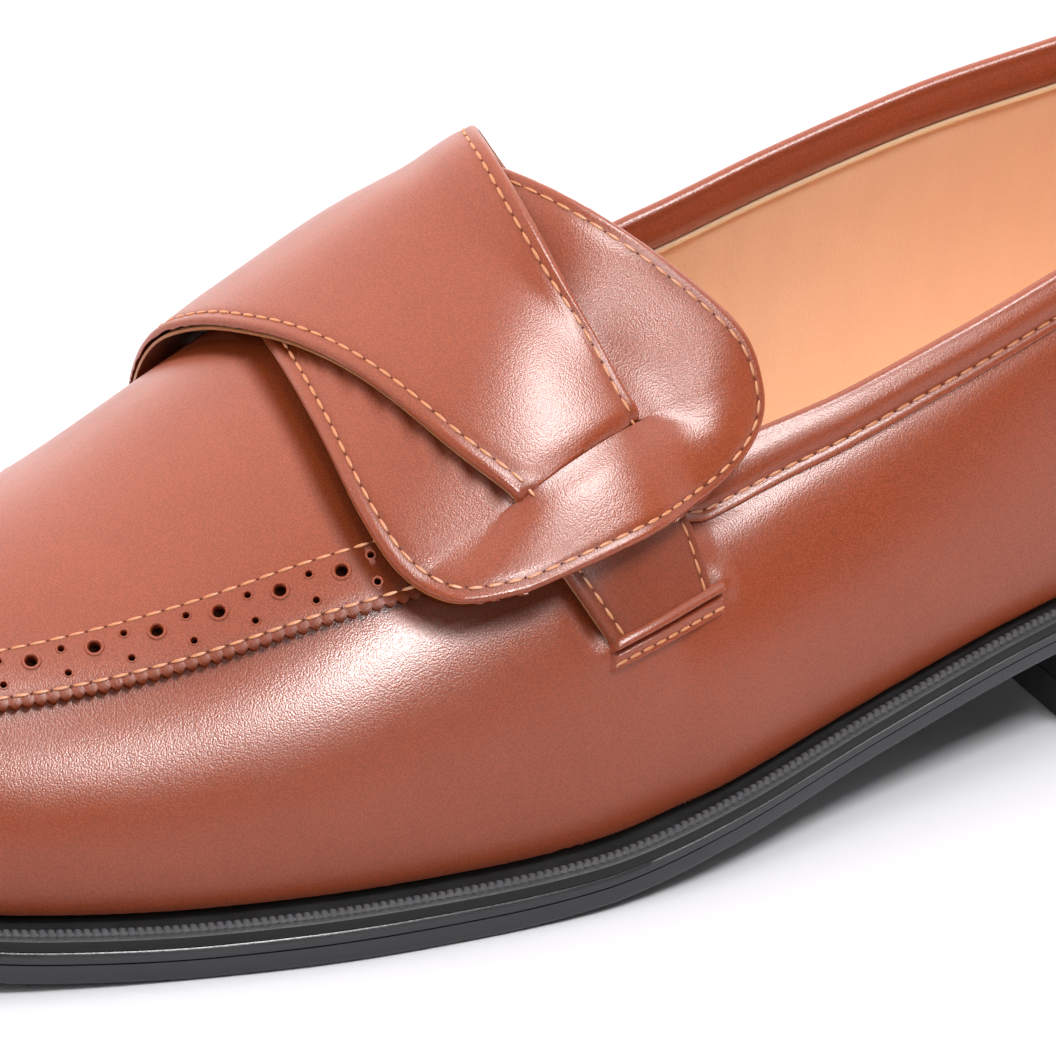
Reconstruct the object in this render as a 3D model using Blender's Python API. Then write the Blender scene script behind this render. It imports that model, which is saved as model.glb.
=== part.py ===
"""Left slip-on loafer with two crossing wing straps. Sizes are in millimetres and the meshes in metres.

The last is described by stations (distance from the back of the heel towards the toe), widths from the
centre line (lateral is +X) and heights from the floor. The toe points to -Y.
"""

import bmesh
import bpy
import numpy as np

MM = 0.001
GAP = 0.3

# Sole: heights of its underside, its thickness, and how far welt and sole reach beyond the upper.
SOLE_COLUMNS = ("station", "underside", "thickness", "reach")
SOLE = np.array((
    (0.0, 21.8, 4.4, 3.2),
    (40.0, 19.8, 4.4, 3.6),
    (80.0, 15.8, 4.3, 4.4),
    (110.0, 10.4, 4.3, 4.8),
    (140.0, 4.7, 4.7, 5.3),
    (165.0, 0.8, 5.2, 5.5),
    (185.0, 0.0, 5.5, 5.5),
    (225.0, 0.0, 5.5, 5.5),
    (250.0, 1.1, 5.5, 5.5),
    (275.0, 4.4, 5.5, 5.5),
    (302.0, 11.4, 5.5, 5.5),
))
WELT_THICKNESS = 3.0
WELT_INSIDE = 8.0
INSOLE_THICKNESS = 2.5
INSOLE_INSET = 2.8

# Heel: the breast is its straight front face.
HEEL_BREAST = 69.0
LIFT_THICKNESS = 6.0
HEEL_INSETS = (0.8, 2.2, 2.6)

# Last: a row per section from the heel back to the toe tip. "foot" is the bottom edge of the upper, "top"
# is the topline up to the throat row and the crest of the vamp from there on. The angles are those of the
# wall at its top.
COLUMNS = (
    "foot_s", "foot_lateral", "foot_medial", "top_s", "top_lateral", "top_medial",
    "z_lateral", "z_medial", "angle_lateral", "angle_medial",
)
SECTIONS = np.array((
    (4.0, 0.0, 0.0, 9.0, 0.0, 0.0, 97.0, 97.0, 84.0, 84.0),
    (8.5, 15.0, 15.0, 12.0, 12.0, -12.0, 96.0, 96.4, 84.0, 84.0),
    (20.0, 25.5, 25.0, 21.0, 21.5, -21.0, 93.3, 94.8, 83.0, 83.0),
    (40.0, 31.3, 29.5, 40.0, 27.0, -25.5, 88.8, 91.2, 82.0, 82.0),
    (65.0, 35.0, 29.0, 65.0, 29.5, -26.5, 81.8, 87.3, 80.0, 82.0),
    (92.0, 39.2, 26.5, 92.0, 30.5, -26.0, 72.9, 81.6, 76.0, 80.0),
    (117.0, 43.4, 27.0, 117.0, 30.0, -25.0, 65.3, 75.4, 64.0, 76.0),
    (139.0, 47.9, 32.0, 137.0, 28.5, -25.0, 62.0, 71.0, 48.0, 68.0),
    (156.0, 49.8, 38.0, 153.0, 19.0, -20.0, 79.0, 88.0, 35.0, 50.0),
    (170.0, 50.0, 42.5, 159.0, -6.7, -6.7, 91.0, 91.0, 10.0, 6.0),
    (188.0, 48.6, 46.0, 180.0, -7.7, -7.7, 77.8, 77.8, 2.0, 2.0),
    (207.0, 46.0, 48.0, 202.0, -7.6, -7.6, 65.6, 65.6, 0.0, 0.0),
    (226.0, 41.5, 47.5, 222.0, -5.6, -5.6, 55.8, 55.8, 0.0, 0.0),
    (245.0, 36.0, 43.5, 240.0, -3.8, -3.8, 50.4, 50.4, 0.0, 0.0),
    (264.0, 29.0, 36.0, 252.0, -1.8, -1.8, 48.6, 48.6, 0.0, 0.0),
    (281.0, 20.0, 25.0, 260.0, -0.6, -0.6, 47.7, 47.7, 0.0, 0.0),
    (292.0, 10.5, 12.0, 264.0, 0.0, 0.0, 47.0, 47.0, 0.0, 0.0),
    (295.0, 0.0, 0.0, 265.0, 0.0, 0.0, 46.7, 46.7, 0.0, 0.0),
))
THROAT = 9
TOE = len(SECTIONS) - 1
LEAN = np.radians(9.0)
HANDLE = 0.42
UPPER_WALL = 2.0

# Instep: the arch that the straps follow over the opening, as crest heights by foot station.
CREST_X = -7.0
CREST_COLUMNS = ("station", "height")
CREST = np.array(((65.0, 116.0), (92.0, 111.0), (117.0, 106.0), (139.0, 101.0), (156.0, 96.2), (170.0, 91.0)))
DOME_POWER = 2.4
FORM_ROWS = np.linspace(5.0, 13.0, 97)
FORM_GIRTHS = np.linspace(-92.0, 92.0, 93)
ROW_SMOOTHING = 30
GIRTH_SMOOTHING = 10

# Apron: distance of its edge from the crest, measured round the wall, by section row.
APRON_THICKNESS = 1.2
APRON_CLEARANCE = 0.35
APRON_COLUMNS = ("row", "lateral", "medial")
APRON = np.array((
    (9.5, 58.5, 60.0),
    (10.23, 53.2, 55.0),
    (11.2, 45.1, 48.5),
    (12.26, 36.4, 41.0),
    (13.4, 29.1, 33.0),
    (14.5, 23.5, 26.0),
    (15.6, 19.5, 20.5),
    (17.0, 17.0, 17.0),
))

# Straps: ribs across each strap from the lobe to the tab, as foot station and girth from the crest
# (lateral positive) of the front and the rear edge.
STRAP_THICKNESS = 2.0
RIB_COLUMNS = ("front_s", "front_g", "rear_s", "rear_g")
LATERAL_RIBS = np.array((
    (174.8, 63.9, 150.5, 67.0),
    (183.4, 59.5, 139.0, 65.9),
    (188.8, 54.8, 131.8, 63.0),
    (192.5, 48.5, 127.6, 58.2),
    (194.6, 41.3, 126.4, 52.5),
    (195.8, 33.3, 127.6, 46.5),
    (196.4, 23.5, 132.5, 38.5),
    (196.8, 12.0, 143.5, 24.0),
    (196.3, -1.0, 153.5, 9.3),
    (193.0, -12.0, 157.0, -8.0),
    (188.0, -26.0, 155.8, -24.0),
    (180.5, -42.0, 153.0, -41.0),
    (174.0, -54.0, 150.0, -55.0),
    (169.0, -68.0, 146.5, -67.0),
    (164.5, -79.0, 143.0, -77.0),
))
MEDIAL_RIBS = np.array((
    (177.0, -63.0, 151.0, -65.5),
    (185.5, -59.0, 140.0, -64.0),
    (191.0, -54.0, 133.0, -61.0),
    (196.5, -48.0, 128.8, -56.0),
    (199.2, -40.5, 127.5, -50.0),
    (200.2, -31.5, 129.0, -42.5),
    (199.8, -21.0, 137.0, -30.0),
    (198.4, -10.0, 148.5, -15.0),
    (196.4, 0.5, 155.8, 0.5),
    (190.0, 17.0, 155.9, 17.0),
    (181.8, 37.0, 155.2, 33.0),
    (175.2, 49.0, 154.6, 46.0),
    (172.0, 56.5, 150.5, 55.5),
    (168.0, 66.0, 145.7, 65.5),
    (164.8, 73.0, 143.7, 73.0),
    (161.8, 79.4, 142.7, 79.7),
))

# Heights of the straps' undersides above the last: on the apron, over the other strap, and at the tabs.
# Over the throat both stand a little further off.
LOW, HIGH, TAB = 2.2, 4.8, 1.2
LIP = 4.0
THROAT_LIFT = 0.9
THROAT_STATION = 163.0
THROAT_SPREAD = 26.0
BAND_MARGIN = 3.0
BAND_FADE = 9.0

# Slit in the lateral strap, where the medial strap goes under it.
SLIT_REAR = (150.0, 46.6)
SLIT_FRONT = (179.0, 47.4)
SLIT_HALF = 3.6

# Facets: counts along and across each form.
OUTLINE_STEPS = 56
WALL_ROWS = np.concatenate([np.linspace(0, THROAT, 20), np.linspace(THROAT, TOE, 27)[1:]])
WALL_STEPS = 11
APRON_STEPS = 7
STRAP_STEPS = 10
LATERAL_STEPS = np.concatenate([np.linspace(0, 2, 5), np.linspace(2, 5, 13)[1:], np.linspace(5, 14, 28)[1:]])
MEDIAL_STEPS = np.concatenate([np.linspace(0, 10.5, 29), np.linspace(10.5, 12.5, 10)[1:], np.linspace(12.5, 15, 6)[1:]])

TAN_LEATHER = ("tan_leather", (0.36, 0.105, 0.045), 0.38)
LINING_LEATHER = ("lining_leather", (0.52, 0.30, 0.14), 0.6)
SOLE_BLACK = ("sole_black", (0.022, 0.021, 0.023), 0.45)
LIFT_RUBBER = ("lift_rubber", (0.015, 0.015, 0.016), 0.65)


def spline(xs, ys, x, flat_ends=False):
    """Natural cubic spline through the rows, or one that is level at both ends."""
    count = len(xs)
    gap = np.diff(xs)
    slope = np.diff(ys) / gap
    system = np.eye(count)
    right = np.zeros(count)
    for i in range(1, count - 1):
        system[i, i - 1:i + 2] = gap[i - 1], 2 * (gap[i - 1] + gap[i]), gap[i]
        right[i] = 6 * (slope[i] - slope[i - 1])
    if flat_ends:
        system[0, :2] = 2 * gap[0], gap[0]
        right[0] = 6 * slope[0]
        system[-1, -2:] = gap[-1], 2 * gap[-1]
        right[-1] = -6 * slope[-1]
    bend = np.linalg.solve(system, right)
    i = np.clip(np.searchsorted(xs, x) - 1, 0, count - 2)
    p = (xs[i + 1] - x) / gap[i]
    q = (x - xs[i]) / gap[i]
    curve = ((p**3 - p) * bend[i] + (q**3 - q) * bend[i + 1]) * gap[i]**2 / 6
    return p * ys[i] + q * ys[i + 1] + curve


def monotone(xs, ys, x, level_start=False):
    """Cubic through the rows that never swings past them, level at the first row if asked."""
    gap = np.diff(xs)
    slope = np.diff(ys) / gap
    first = 0.0 if level_start else slope[0]
    tangent = np.concatenate(([first], np.zeros(len(xs) - 2), [slope[-1]]))
    for i in range(1, len(xs) - 1):
        if slope[i - 1] * slope[i] > 0:
            a = 2 * gap[i] + gap[i - 1]
            b = gap[i] + 2 * gap[i - 1]
            tangent[i] = (a + b) / (a / slope[i - 1] + b / slope[i])
    i = np.clip(np.searchsorted(xs, x) - 1, 0, len(xs) - 2)
    t = (x - xs[i]) / gap[i]
    ends = (2 * t**3 - 3 * t**2 + 1) * ys[i] + (3 * t**2 - 2 * t**3) * ys[i + 1]
    return ends + ((t**3 - 2 * t**2 + t) * tangent[i] + (t**3 - t**2) * tangent[i + 1]) * gap[i]


def ease(x):
    """Smooth step from 0 to 1."""
    x = np.clip(x, 0, 1)
    return x * x * (3 - 2 * x)


def sole_run(name, s):
    return monotone(SOLE[:, 0], SOLE[:, SOLE_COLUMNS.index(name)], np.asarray(s, float))


def seat(s):
    """Height of the upper's bottom edge, on top of sole and welt."""
    return sole_run("underside", s) + sole_run("thickness", s) + WELT_THICKNESS + 2 * GAP


def column(name, row):
    """A column of the section table at fractional rows."""
    values = SECTIONS[:, COLUMNS.index(name)]
    row = np.asarray(row, float)
    index = np.arange(len(values), dtype=float)
    if name.startswith("foot"):
        return spline(index, values, row, flat_ends=name == "foot_s")
    mirrored = name.startswith(("top_s", "z_"))
    open_part = monotone(index[:THROAT + 1], values[:THROAT + 1], np.minimum(row, THROAT), mirrored)
    closed_part = spline(index[THROAT:], values[THROAT:], np.maximum(row, THROAT))
    return np.where(row < THROAT, open_part, closed_part)


def side_name(side):
    return "lateral" if side > 0 else "medial"


def foot(row, side):
    """Bottom edge of the upper."""
    s = column("foot_s", row)
    return np.stack([side * column("foot_" + side_name(side), row), s, seat(s)], -1)


def top(row, side):
    """Topline, and the crest of the vamp in front of the throat."""
    name = side_name(side)
    return np.stack([column("top_" + name, row), column("top_s", row), column("z_" + name, row)], -1)


def beside(row):
    return np.clip(row - 1e-3, 0, TOE), np.clip(row + 1e-3, 0, TOE)


def outward(row, side):
    """Normal of the foot outline in plan."""
    before, after = beside(row)
    along = foot(after, side)[:, :2] - foot(before, side)[:, :2]
    along /= np.linalg.norm(along, axis=1)[:, None]
    normal = side * np.stack([along[:, 1], -along[:, 0]], -1)
    normal[row <= 0] = (0, -1)
    normal[row >= TOE] = (0, 1)
    return normal


def wall_handles(row, side):
    """The four Bezier points of each column of the wall, from the foot to the top."""
    base = foot(row, side)
    crown = top(row, side)
    normal = outward(row, side)
    plan = base[:, :2] - crown[:, :2]
    spread = np.linalg.norm(plan, axis=1)[:, None]
    blend = np.clip((spread - 4) / 8, 0, 1)
    down = blend * plan / np.maximum(spread, 1e-6) + (1 - blend) * normal
    down /= np.linalg.norm(down, axis=1)[:, None]
    before, after = beside(np.clip(row, THROAT + 0.01, TOE - 1.0))
    rise = top(after, side) - top(before, side)
    slope = rise[:, 2] / rise[:, 1]
    on_vamp = np.clip(row - THROAT + 1, 0, 1)
    angle = np.radians(column("angle_" + side_name(side), row))
    angle = (angle - on_vamp * np.arctan(slope * down[:, 1]))[:, None]
    chord = HANDLE * np.linalg.norm(base - crown, axis=1)[:, None]
    lean = np.hstack([normal * np.sin(LEAN), np.full((len(row), 1), np.cos(LEAN))])
    fall = np.hstack([down * np.cos(angle), -np.sin(angle)])
    return base, base + chord * lean, crown + chord * fall, crown


def bezier(points, v):
    a, b, c, d = (p[:, None] for p in points)
    v = np.asarray(v, float)[None, :, None]
    return (1 - v)**3 * a + 3 * v * (1 - v)**2 * b + 3 * v * v * (1 - v) * c + v**3 * d


def wall(row, side, v):
    """Outer surface of the upper: v runs from 0 at the foot to 1 at the top."""
    return bezier(wall_handles(np.asarray(row, float), side), v)


def arch(row, v):
    """Dome over the opening from the lateral to the medial topline, at the instep's crest height."""
    lateral = top(row, 1)[:, None]
    medial = top(row, -1)[:, None]
    v = np.asarray(v, float)[None, :, None]
    dome = lateral + (medial - lateral) * v
    crest = monotone(CREST[:, 0], CREST[:, 1], column("foot_s", row))
    rise = crest[:, None] - (lateral[..., 2] + medial[..., 2]) / 2
    dome[..., 2] += rise * (1 - np.abs(2 * v[..., 0] - 1)**DOME_POWER)
    return dome


def instep_form():
    """Points and normals over the instep, by section row and girth from the crest."""
    v = np.linspace(0, 1, 49)
    bridge = arch(np.minimum(FORM_ROWS, THROAT - 1e-6), v)
    on_vamp = FORM_ROWS >= THROAT
    bridge[on_vamp] = top(FORM_ROWS, 1)[on_vamp][:, None]
    lines = np.concatenate([wall(FORM_ROWS, 1, v), bridge[:, 1:-1], wall(FORM_ROWS, -1, v)[:, ::-1]], 1)
    crest_x = np.where(on_vamp, column("top_lateral", FORM_ROWS), CREST_X)
    points = np.zeros((len(FORM_ROWS), len(FORM_GIRTHS), 3))
    for i, line in enumerate(lines):
        girth = np.concatenate(([0], np.cumsum(np.linalg.norm(np.diff(line, axis=0), axis=1))))
        over = line[:, 2] > 45
        crest = np.interp(-crest_x[i], -line[over, 0], girth[over])
        at = np.clip(crest - FORM_GIRTHS, 0, girth[-1])
        points[i] = np.stack([np.interp(at, girth, line[:, k]) for k in range(3)], -1)
        beyond = np.abs(crest - FORM_GIRTHS - at)
        points[i, :, 2] -= beyond
    for _ in range(ROW_SMOOTHING):
        points[1:-1] = (points[:-2] + 2 * points[1:-1] + points[2:]) / 4
    for _ in range(GIRTH_SMOOTHING):
        points[:, 1:-1] = (points[:, :-2] + 2 * points[:, 1:-1] + points[:, 2:]) / 4
    normals = np.cross(np.gradient(points, axis=0), np.gradient(points, axis=1))
    normals /= np.linalg.norm(normals, axis=2)[:, :, None]
    middle = normals[:, len(FORM_GIRTHS) // 2, 2].mean()
    return points, normals * np.sign(middle)


def on_form(form, s, g, height):
    """Points above the instep at foot station s, girth g and the given height."""
    stations = column("foot_s", FORM_ROWS)
    row = np.interp(s, stations, np.arange(len(FORM_ROWS)))
    place = np.interp(g, FORM_GIRTHS, np.arange(len(FORM_GIRTHS)))
    i = np.clip(row.astype(int), 0, len(FORM_ROWS) - 2)
    j = np.clip(place.astype(int), 0, len(FORM_GIRTHS) - 2)
    p = (row - i)[..., None]
    q = (place - j)[..., None]
    at = []
    for field in form:
        near = (1 - q) * field[i, j] + q * field[i, j + 1]
        far = (1 - q) * field[i + 1, j] + q * field[i + 1, j + 1]
        at.append((1 - p) * near + p * far)
    return at[0] + at[1] * np.asarray(height)[..., None]


def outline(row, side, reach):
    """Plan outline at a distance outside the upper's foot (inside where negative)."""
    edge = foot(row, side)[:, :2]
    return edge + outward(row, side) * np.broadcast_to(reach, len(row))[:, None]


def sole_rows(last=float(TOE)):
    return np.linspace(0, last, OUTLINE_STEPS)


def sole_edge(row, side, inset=0.0):
    return outline(row, side, sole_run("reach", column("foot_s", row)) - inset)


def plan_centre():
    rows = sole_rows()
    edge = np.concatenate([sole_edge(rows, 1), sole_edge(rows, -1)])
    return (edge.min(axis=0) + edge.max(axis=0)) / 2


CENTRE = plan_centre()


def placed(points):
    """Last coordinates to metres, with the origin under the middle of the shoe and the toe towards -Y."""
    x, s, z = np.moveaxis(np.asarray(points, float), -1, 0)
    return np.stack([x - CENTRE[0], CENTRE[1] - s, z], -1) * MM


def material(finish):
    name, colour, roughness = finish
    found = bpy.data.materials.get(name)
    if found:
        return found
    made = bpy.data.materials.new(name)
    made.use_nodes = True
    shader = made.node_tree.nodes["Principled BSDF"]
    shader.inputs["Base Color"].default_value = (*colour, 1.0)
    shader.inputs["Roughness"].default_value = roughness
    shader.inputs["Metallic"].default_value = 0.0
    return made


def add_piece(name, bm, finish):
    """Object from a bmesh, its faces turned outwards and shaded smooth between sharp edges."""
    bmesh.ops.remove_doubles(bm, verts=bm.verts, dist=1e-6)
    bmesh.ops.recalc_face_normals(bm, faces=bm.faces)
    mesh = bpy.data.meshes.new(name)
    bm.to_mesh(mesh)
    bm.free()
    mesh.shade_smooth()
    mesh.set_sharp_from_angle(angle=np.radians(40))
    mesh.materials.append(material(finish))
    piece = bpy.data.objects.new(name, mesh)
    bpy.context.scene.collection.objects.link(piece)
    return piece


def grid_faces(bm, grid, wrap=False):
    """Quads over a grid of vertices, closed round its first direction where wrap is set."""
    rows = len(grid)
    for i in range(rows if wrap else rows - 1):
        for j in range(len(grid[0]) - 1):
            a, b = grid[i], grid[(i + 1) % rows]
            bm.faces.new((a[j], b[j], b[j + 1], a[j + 1]))


def grid_verts(bm, points):
    return [[bm.verts.new(p) for p in line] for line in placed(points)]


def slab(name, lower, upper, finish, ring=False):
    """Closed solid between two grids of points of the same shape; a ring has no end faces."""
    bm = bmesh.new()
    below = grid_verts(bm, lower)
    above = grid_verts(bm, upper)
    grid_faces(bm, below, ring)
    grid_faces(bm, above, ring)
    for j in (0, -1):
        grid_faces(bm, [[a[j], b[j]] for a, b in zip(below, above)], ring)
    if not ring:
        for i in (0, -1):
            grid_faces(bm, [[a, b] for a, b in zip(below[i], above[i])])
    return add_piece(name, bm, finish)


def sheet(name, grids, finish):
    """Open surface of several grids welded along the points that they share."""
    bm = bmesh.new()
    for points in grids:
        grid_faces(bm, grid_verts(bm, points))
    return add_piece(name, bm, finish)


def thicken(piece, thickness, offset):
    solid = piece.modifiers.new("wall", "SOLIDIFY")
    solid.thickness = thickness * MM
    solid.offset = offset
    return piece


def raised(plan, height):
    return np.concatenate([plan, np.asarray(height)[..., None]], -1)


def across(lateral, medial):
    """Grid of two points per station, lateral and medial."""
    return np.stack([lateral, medial], 1)


def make_outsole():
    rows = sole_rows()
    plan = across(sole_edge(rows, 1, GAP), sole_edge(rows, -1, GAP))
    below = sole_run("underside", plan[..., 1])
    above = below + sole_run("thickness", plan[..., 1])
    return slab("outsole", raised(plan, below), raised(plan, above), SOLE_BLACK)


def make_welt():
    rows = sole_rows()
    loops = []
    for reach in (sole_run("reach", column("foot_s", rows)), -WELT_INSIDE):
        lateral = outline(rows, 1, reach)
        medial = outline(rows, -1, reach)
        loops.append(np.concatenate([lateral, medial[-2:0:-1]]))
    plan = np.stack(loops, 1)
    below = sole_run("underside", plan[..., 1]) + sole_run("thickness", plan[..., 1]) + GAP
    return slab("welt", raised(plan, below), raised(plan, below + WELT_THICKNESS), SOLE_BLACK, ring=True)


def make_insole():
    rows = sole_rows()
    plan = across(outline(rows, 1, -INSOLE_INSET), outline(rows, -1, -INSOLE_INSET))
    below = seat(plan[..., 1])
    return slab("insole", raised(plan, below), raised(plan, below + INSOLE_THICKNESS), LINING_LEATHER)


def make_heel():
    breast_row = np.interp(HEEL_BREAST, column("foot_s", sole_rows()), sole_rows())
    rows = sole_rows(breast_row)[::2]
    block_top, block_foot, lift_foot = (
        across(sole_edge(rows, 1, inset), sole_edge(rows, -1, inset)) for inset in HEEL_INSETS
    )
    flat = np.ones(block_top.shape[:2])
    under_sole = sole_run("underside", block_top[..., 1]) - GAP
    slab("heel_stack", raised(block_foot, flat * (LIFT_THICKNESS + GAP)), raised(block_top, under_sole), SOLE_BLACK)
    slab("heel_top_lift", raised(lift_foot, flat * 0), raised(block_foot, flat * LIFT_THICKNESS), LIFT_RUBBER)


def make_upper():
    v = np.linspace(0, 1, WALL_STEPS + 1)
    upper = sheet("upper", [wall(WALL_ROWS, 1, v), wall(WALL_ROWS, -1, v)], TAN_LEATHER)
    return thicken(upper, UPPER_WALL, -1)


def apron_grid(side):
    """Wall points from the apron's edge to the crest."""
    rows = WALL_ROWS[WALL_ROWS >= APRON[0, 0]]
    reach = monotone(APRON[:, 0], APRON[:, APRON_COLUMNS.index(side_name(side))], rows)
    fine = np.linspace(0, 1, 81)
    grid = []
    for line, edge in zip(wall(rows, side, fine), reach):
        girth = np.concatenate(([0], np.cumsum(np.linalg.norm(np.diff(line[::-1], axis=0), axis=1))))
        at = np.linspace(edge, 0, APRON_STEPS + 1)
        grid.append(np.stack([np.interp(at, girth, line[::-1, k]) for k in range(3)], -1))
    return np.array(grid)


def make_apron():
    apron = sheet("apron", [apron_grid(1), apron_grid(-1)], TAN_LEATHER)
    lift = apron.modifiers.new("clearance", "DISPLACE")
    lift.strength = APRON_CLEARANCE * MM
    lift.mid_level = 0.0
    return thicken(apron, APRON_THICKNESS, 1)


def past_slit(s, g):
    """Distance beyond the slit's line, downwards on the lateral side."""
    share = (s - SLIT_REAR[0]) / (SLIT_FRONT[0] - SLIT_REAR[0])
    return g - SLIT_REAR[1] - share * (SLIT_FRONT[1] - SLIT_REAR[1])


def throat_lift(s, g):
    """Extra height of both straps over the throat."""
    return THROAT_LIFT * np.exp(-((s - THROAT_STATION) / THROAT_SPREAD)**2) * ease((50 - np.abs(g)) / 25)


def inside_band(ribs, s, g):
    """1 between a strap's front and rear edges and a margin, fading to 0 outside them."""
    order = np.argsort(ribs[:, 1])
    front = np.interp(g, ribs[order, 1], ribs[order, 0])
    order = np.argsort(ribs[:, 3])
    rear = np.interp(g, ribs[order, 3], ribs[order, 2])
    outside = np.maximum(s - front, rear - s) - BAND_MARGIN
    return ease(1 - outside / BAND_FADE)


def lateral_height(s, g):
    """Underside of the lateral strap: raised over the other strap below the slit, low at its medial tab."""
    below_slit = ease((past_slit(s, g) + SLIT_HALF) / (2 * SLIT_HALF))
    raise_to = LIP - 0.4 * ease((past_slit(s, g) - SLIT_HALF) / 12)
    lobe = LOW + (raise_to - LOW) * below_slit * inside_band(MEDIAL_RIBS[8:], s, g)
    tab = LOW + (TAB - LOW) * ease((-g - 46) / 20)
    return np.where(g > 0, lobe, tab) + throat_lift(s, g)


def medial_height(s, g):
    """Underside of the medial strap: over the lateral strap, then down through the slit to its tab."""
    through = ease((past_slit(s, g) + SLIT_HALF) / (2 * SLIT_HALF))
    under = LIP - STRAP_THICKNESS - 2 * GAP
    band = HIGH + (under - HIGH) * through
    band += (TAB - under) * ease((past_slit(s, g) - SLIT_HALF) / 12)
    lobe = HIGH - 0.5 * ease((-g - 52) / 14)
    beside_band = 1 - inside_band(LATERAL_RIBS[8:], s, g)
    lobe -= (HIGH - LOW - 0.5) * beside_band * ease((-g - 20) / 20)
    return np.where(g > 0, band, lobe) + throat_lift(s, g)


def strap_grid(ribs, along):
    """Stations and girths over a strap, lobe to tab and front to rear."""
    index = np.arange(len(ribs), dtype=float)
    front_s, front_g, rear_s, rear_g = (spline(index, ribs[:, k], along)[:, None] for k in range(4))
    t = np.linspace(0, 1, STRAP_STEPS + 1)[None, :]
    return front_s + (rear_s - front_s) * t, front_g + (rear_g - front_g) * t


def make_strap(name, form, ribs, along, height):
    s, g = strap_grid(ribs, along)
    under = height(s, g)
    return slab(name, on_form(form, s, g, under), on_form(form, s, g, under + STRAP_THICKNESS), TAN_LEATHER)


def cut_slit(strap, form):
    """Opens the slit in the lateral strap with a block that follows the instep."""
    t = np.linspace(0, 1, 7)[:, None]
    s = SLIT_REAR[0] + (SLIT_FRONT[0] - SLIT_REAR[0]) * t + np.zeros((1, 2))
    middle = SLIT_REAR[1] + (SLIT_FRONT[1] - SLIT_REAR[1]) * t
    g = middle + np.array([[-SLIT_HALF, SLIT_HALF]])
    low = np.full(s.shape, LOW - 2.0)
    cutter = slab("slit_cutter", on_form(form, s, g, low), on_form(form, s, g, low + 9.0), TAN_LEATHER)
    cutter.hide_render = True
    cutter.display_type = "WIRE"
    cut = strap.modifiers.new("slit", "BOOLEAN")
    cut.operation = "DIFFERENCE"
    cut.object = cutter


def main():
    for old in list(bpy.data.objects):
        bpy.data.objects.remove(old)
    make_outsole()
    make_welt()
    make_insole()
    make_heel()
    make_upper()
    make_apron()
    form = instep_form()
    strap = make_strap("strap_lateral", form, LATERAL_RIBS, LATERAL_STEPS, lateral_height)
    cut_slit(strap, form)
    make_strap("strap_medial", form, MEDIAL_RIBS, MEDIAL_STEPS, medial_height)


main()
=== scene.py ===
"""Looks of a left slip-on loafer: tan calf, two crossing wings, a punched apron and a black welted sole.

The leather is laid over the last that the CAD part was drawn on. Stations run from the back of the heel to
the toe, widths from the centre line (outer side positive) and heights from the floor, all in millimetres.
"""

import logging
import math
from dataclasses import dataclass, field
from enum import Enum
from typing import Any, Callable, Sequence

import bpy
import numpy as np
from mathutils import Matrix, Vector


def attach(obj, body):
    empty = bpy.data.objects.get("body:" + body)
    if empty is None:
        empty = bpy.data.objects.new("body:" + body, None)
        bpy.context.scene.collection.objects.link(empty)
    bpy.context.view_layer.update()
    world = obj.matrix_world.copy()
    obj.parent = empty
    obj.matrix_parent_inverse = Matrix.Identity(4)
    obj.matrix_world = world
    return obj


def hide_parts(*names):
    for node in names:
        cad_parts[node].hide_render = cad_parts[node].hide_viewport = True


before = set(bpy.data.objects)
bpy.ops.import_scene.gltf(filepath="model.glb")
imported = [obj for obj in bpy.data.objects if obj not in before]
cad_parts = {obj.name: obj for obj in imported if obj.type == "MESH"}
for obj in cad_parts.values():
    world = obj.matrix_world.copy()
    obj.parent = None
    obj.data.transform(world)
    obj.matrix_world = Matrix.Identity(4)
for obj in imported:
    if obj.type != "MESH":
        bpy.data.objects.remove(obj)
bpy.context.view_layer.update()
LOG = logging.getLogger("loafer")
MM = 0.001
# Small step in section rows, for slopes.
NUDGE = 1e-3
# A height for each of an array of stations.
Level = Callable[[np.ndarray], np.ndarray]

# Sole: heights of its underside, its thickness, and how far welt and sole reach beyond the upper.
SOLE_COLUMNS = ("station", "underside", "thickness", "reach")
SOLE = np.array((
    (0.0, 21.8, 4.4, 3.2),
    (40.0, 19.8, 4.4, 3.6),
    (80.0, 15.8, 4.3, 4.4),
    (110.0, 10.4, 4.3, 4.8),
    (140.0, 4.7, 4.7, 5.3),
    (165.0, 0.8, 5.2, 5.5),
    (185.0, 0.0, 5.5, 5.5),
    (225.0, 0.0, 5.5, 5.5),
    (250.0, 1.1, 5.5, 5.5),
    (275.0, 4.4, 5.5, 5.5),
    (302.0, 11.4, 5.5, 5.5),
))

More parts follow.
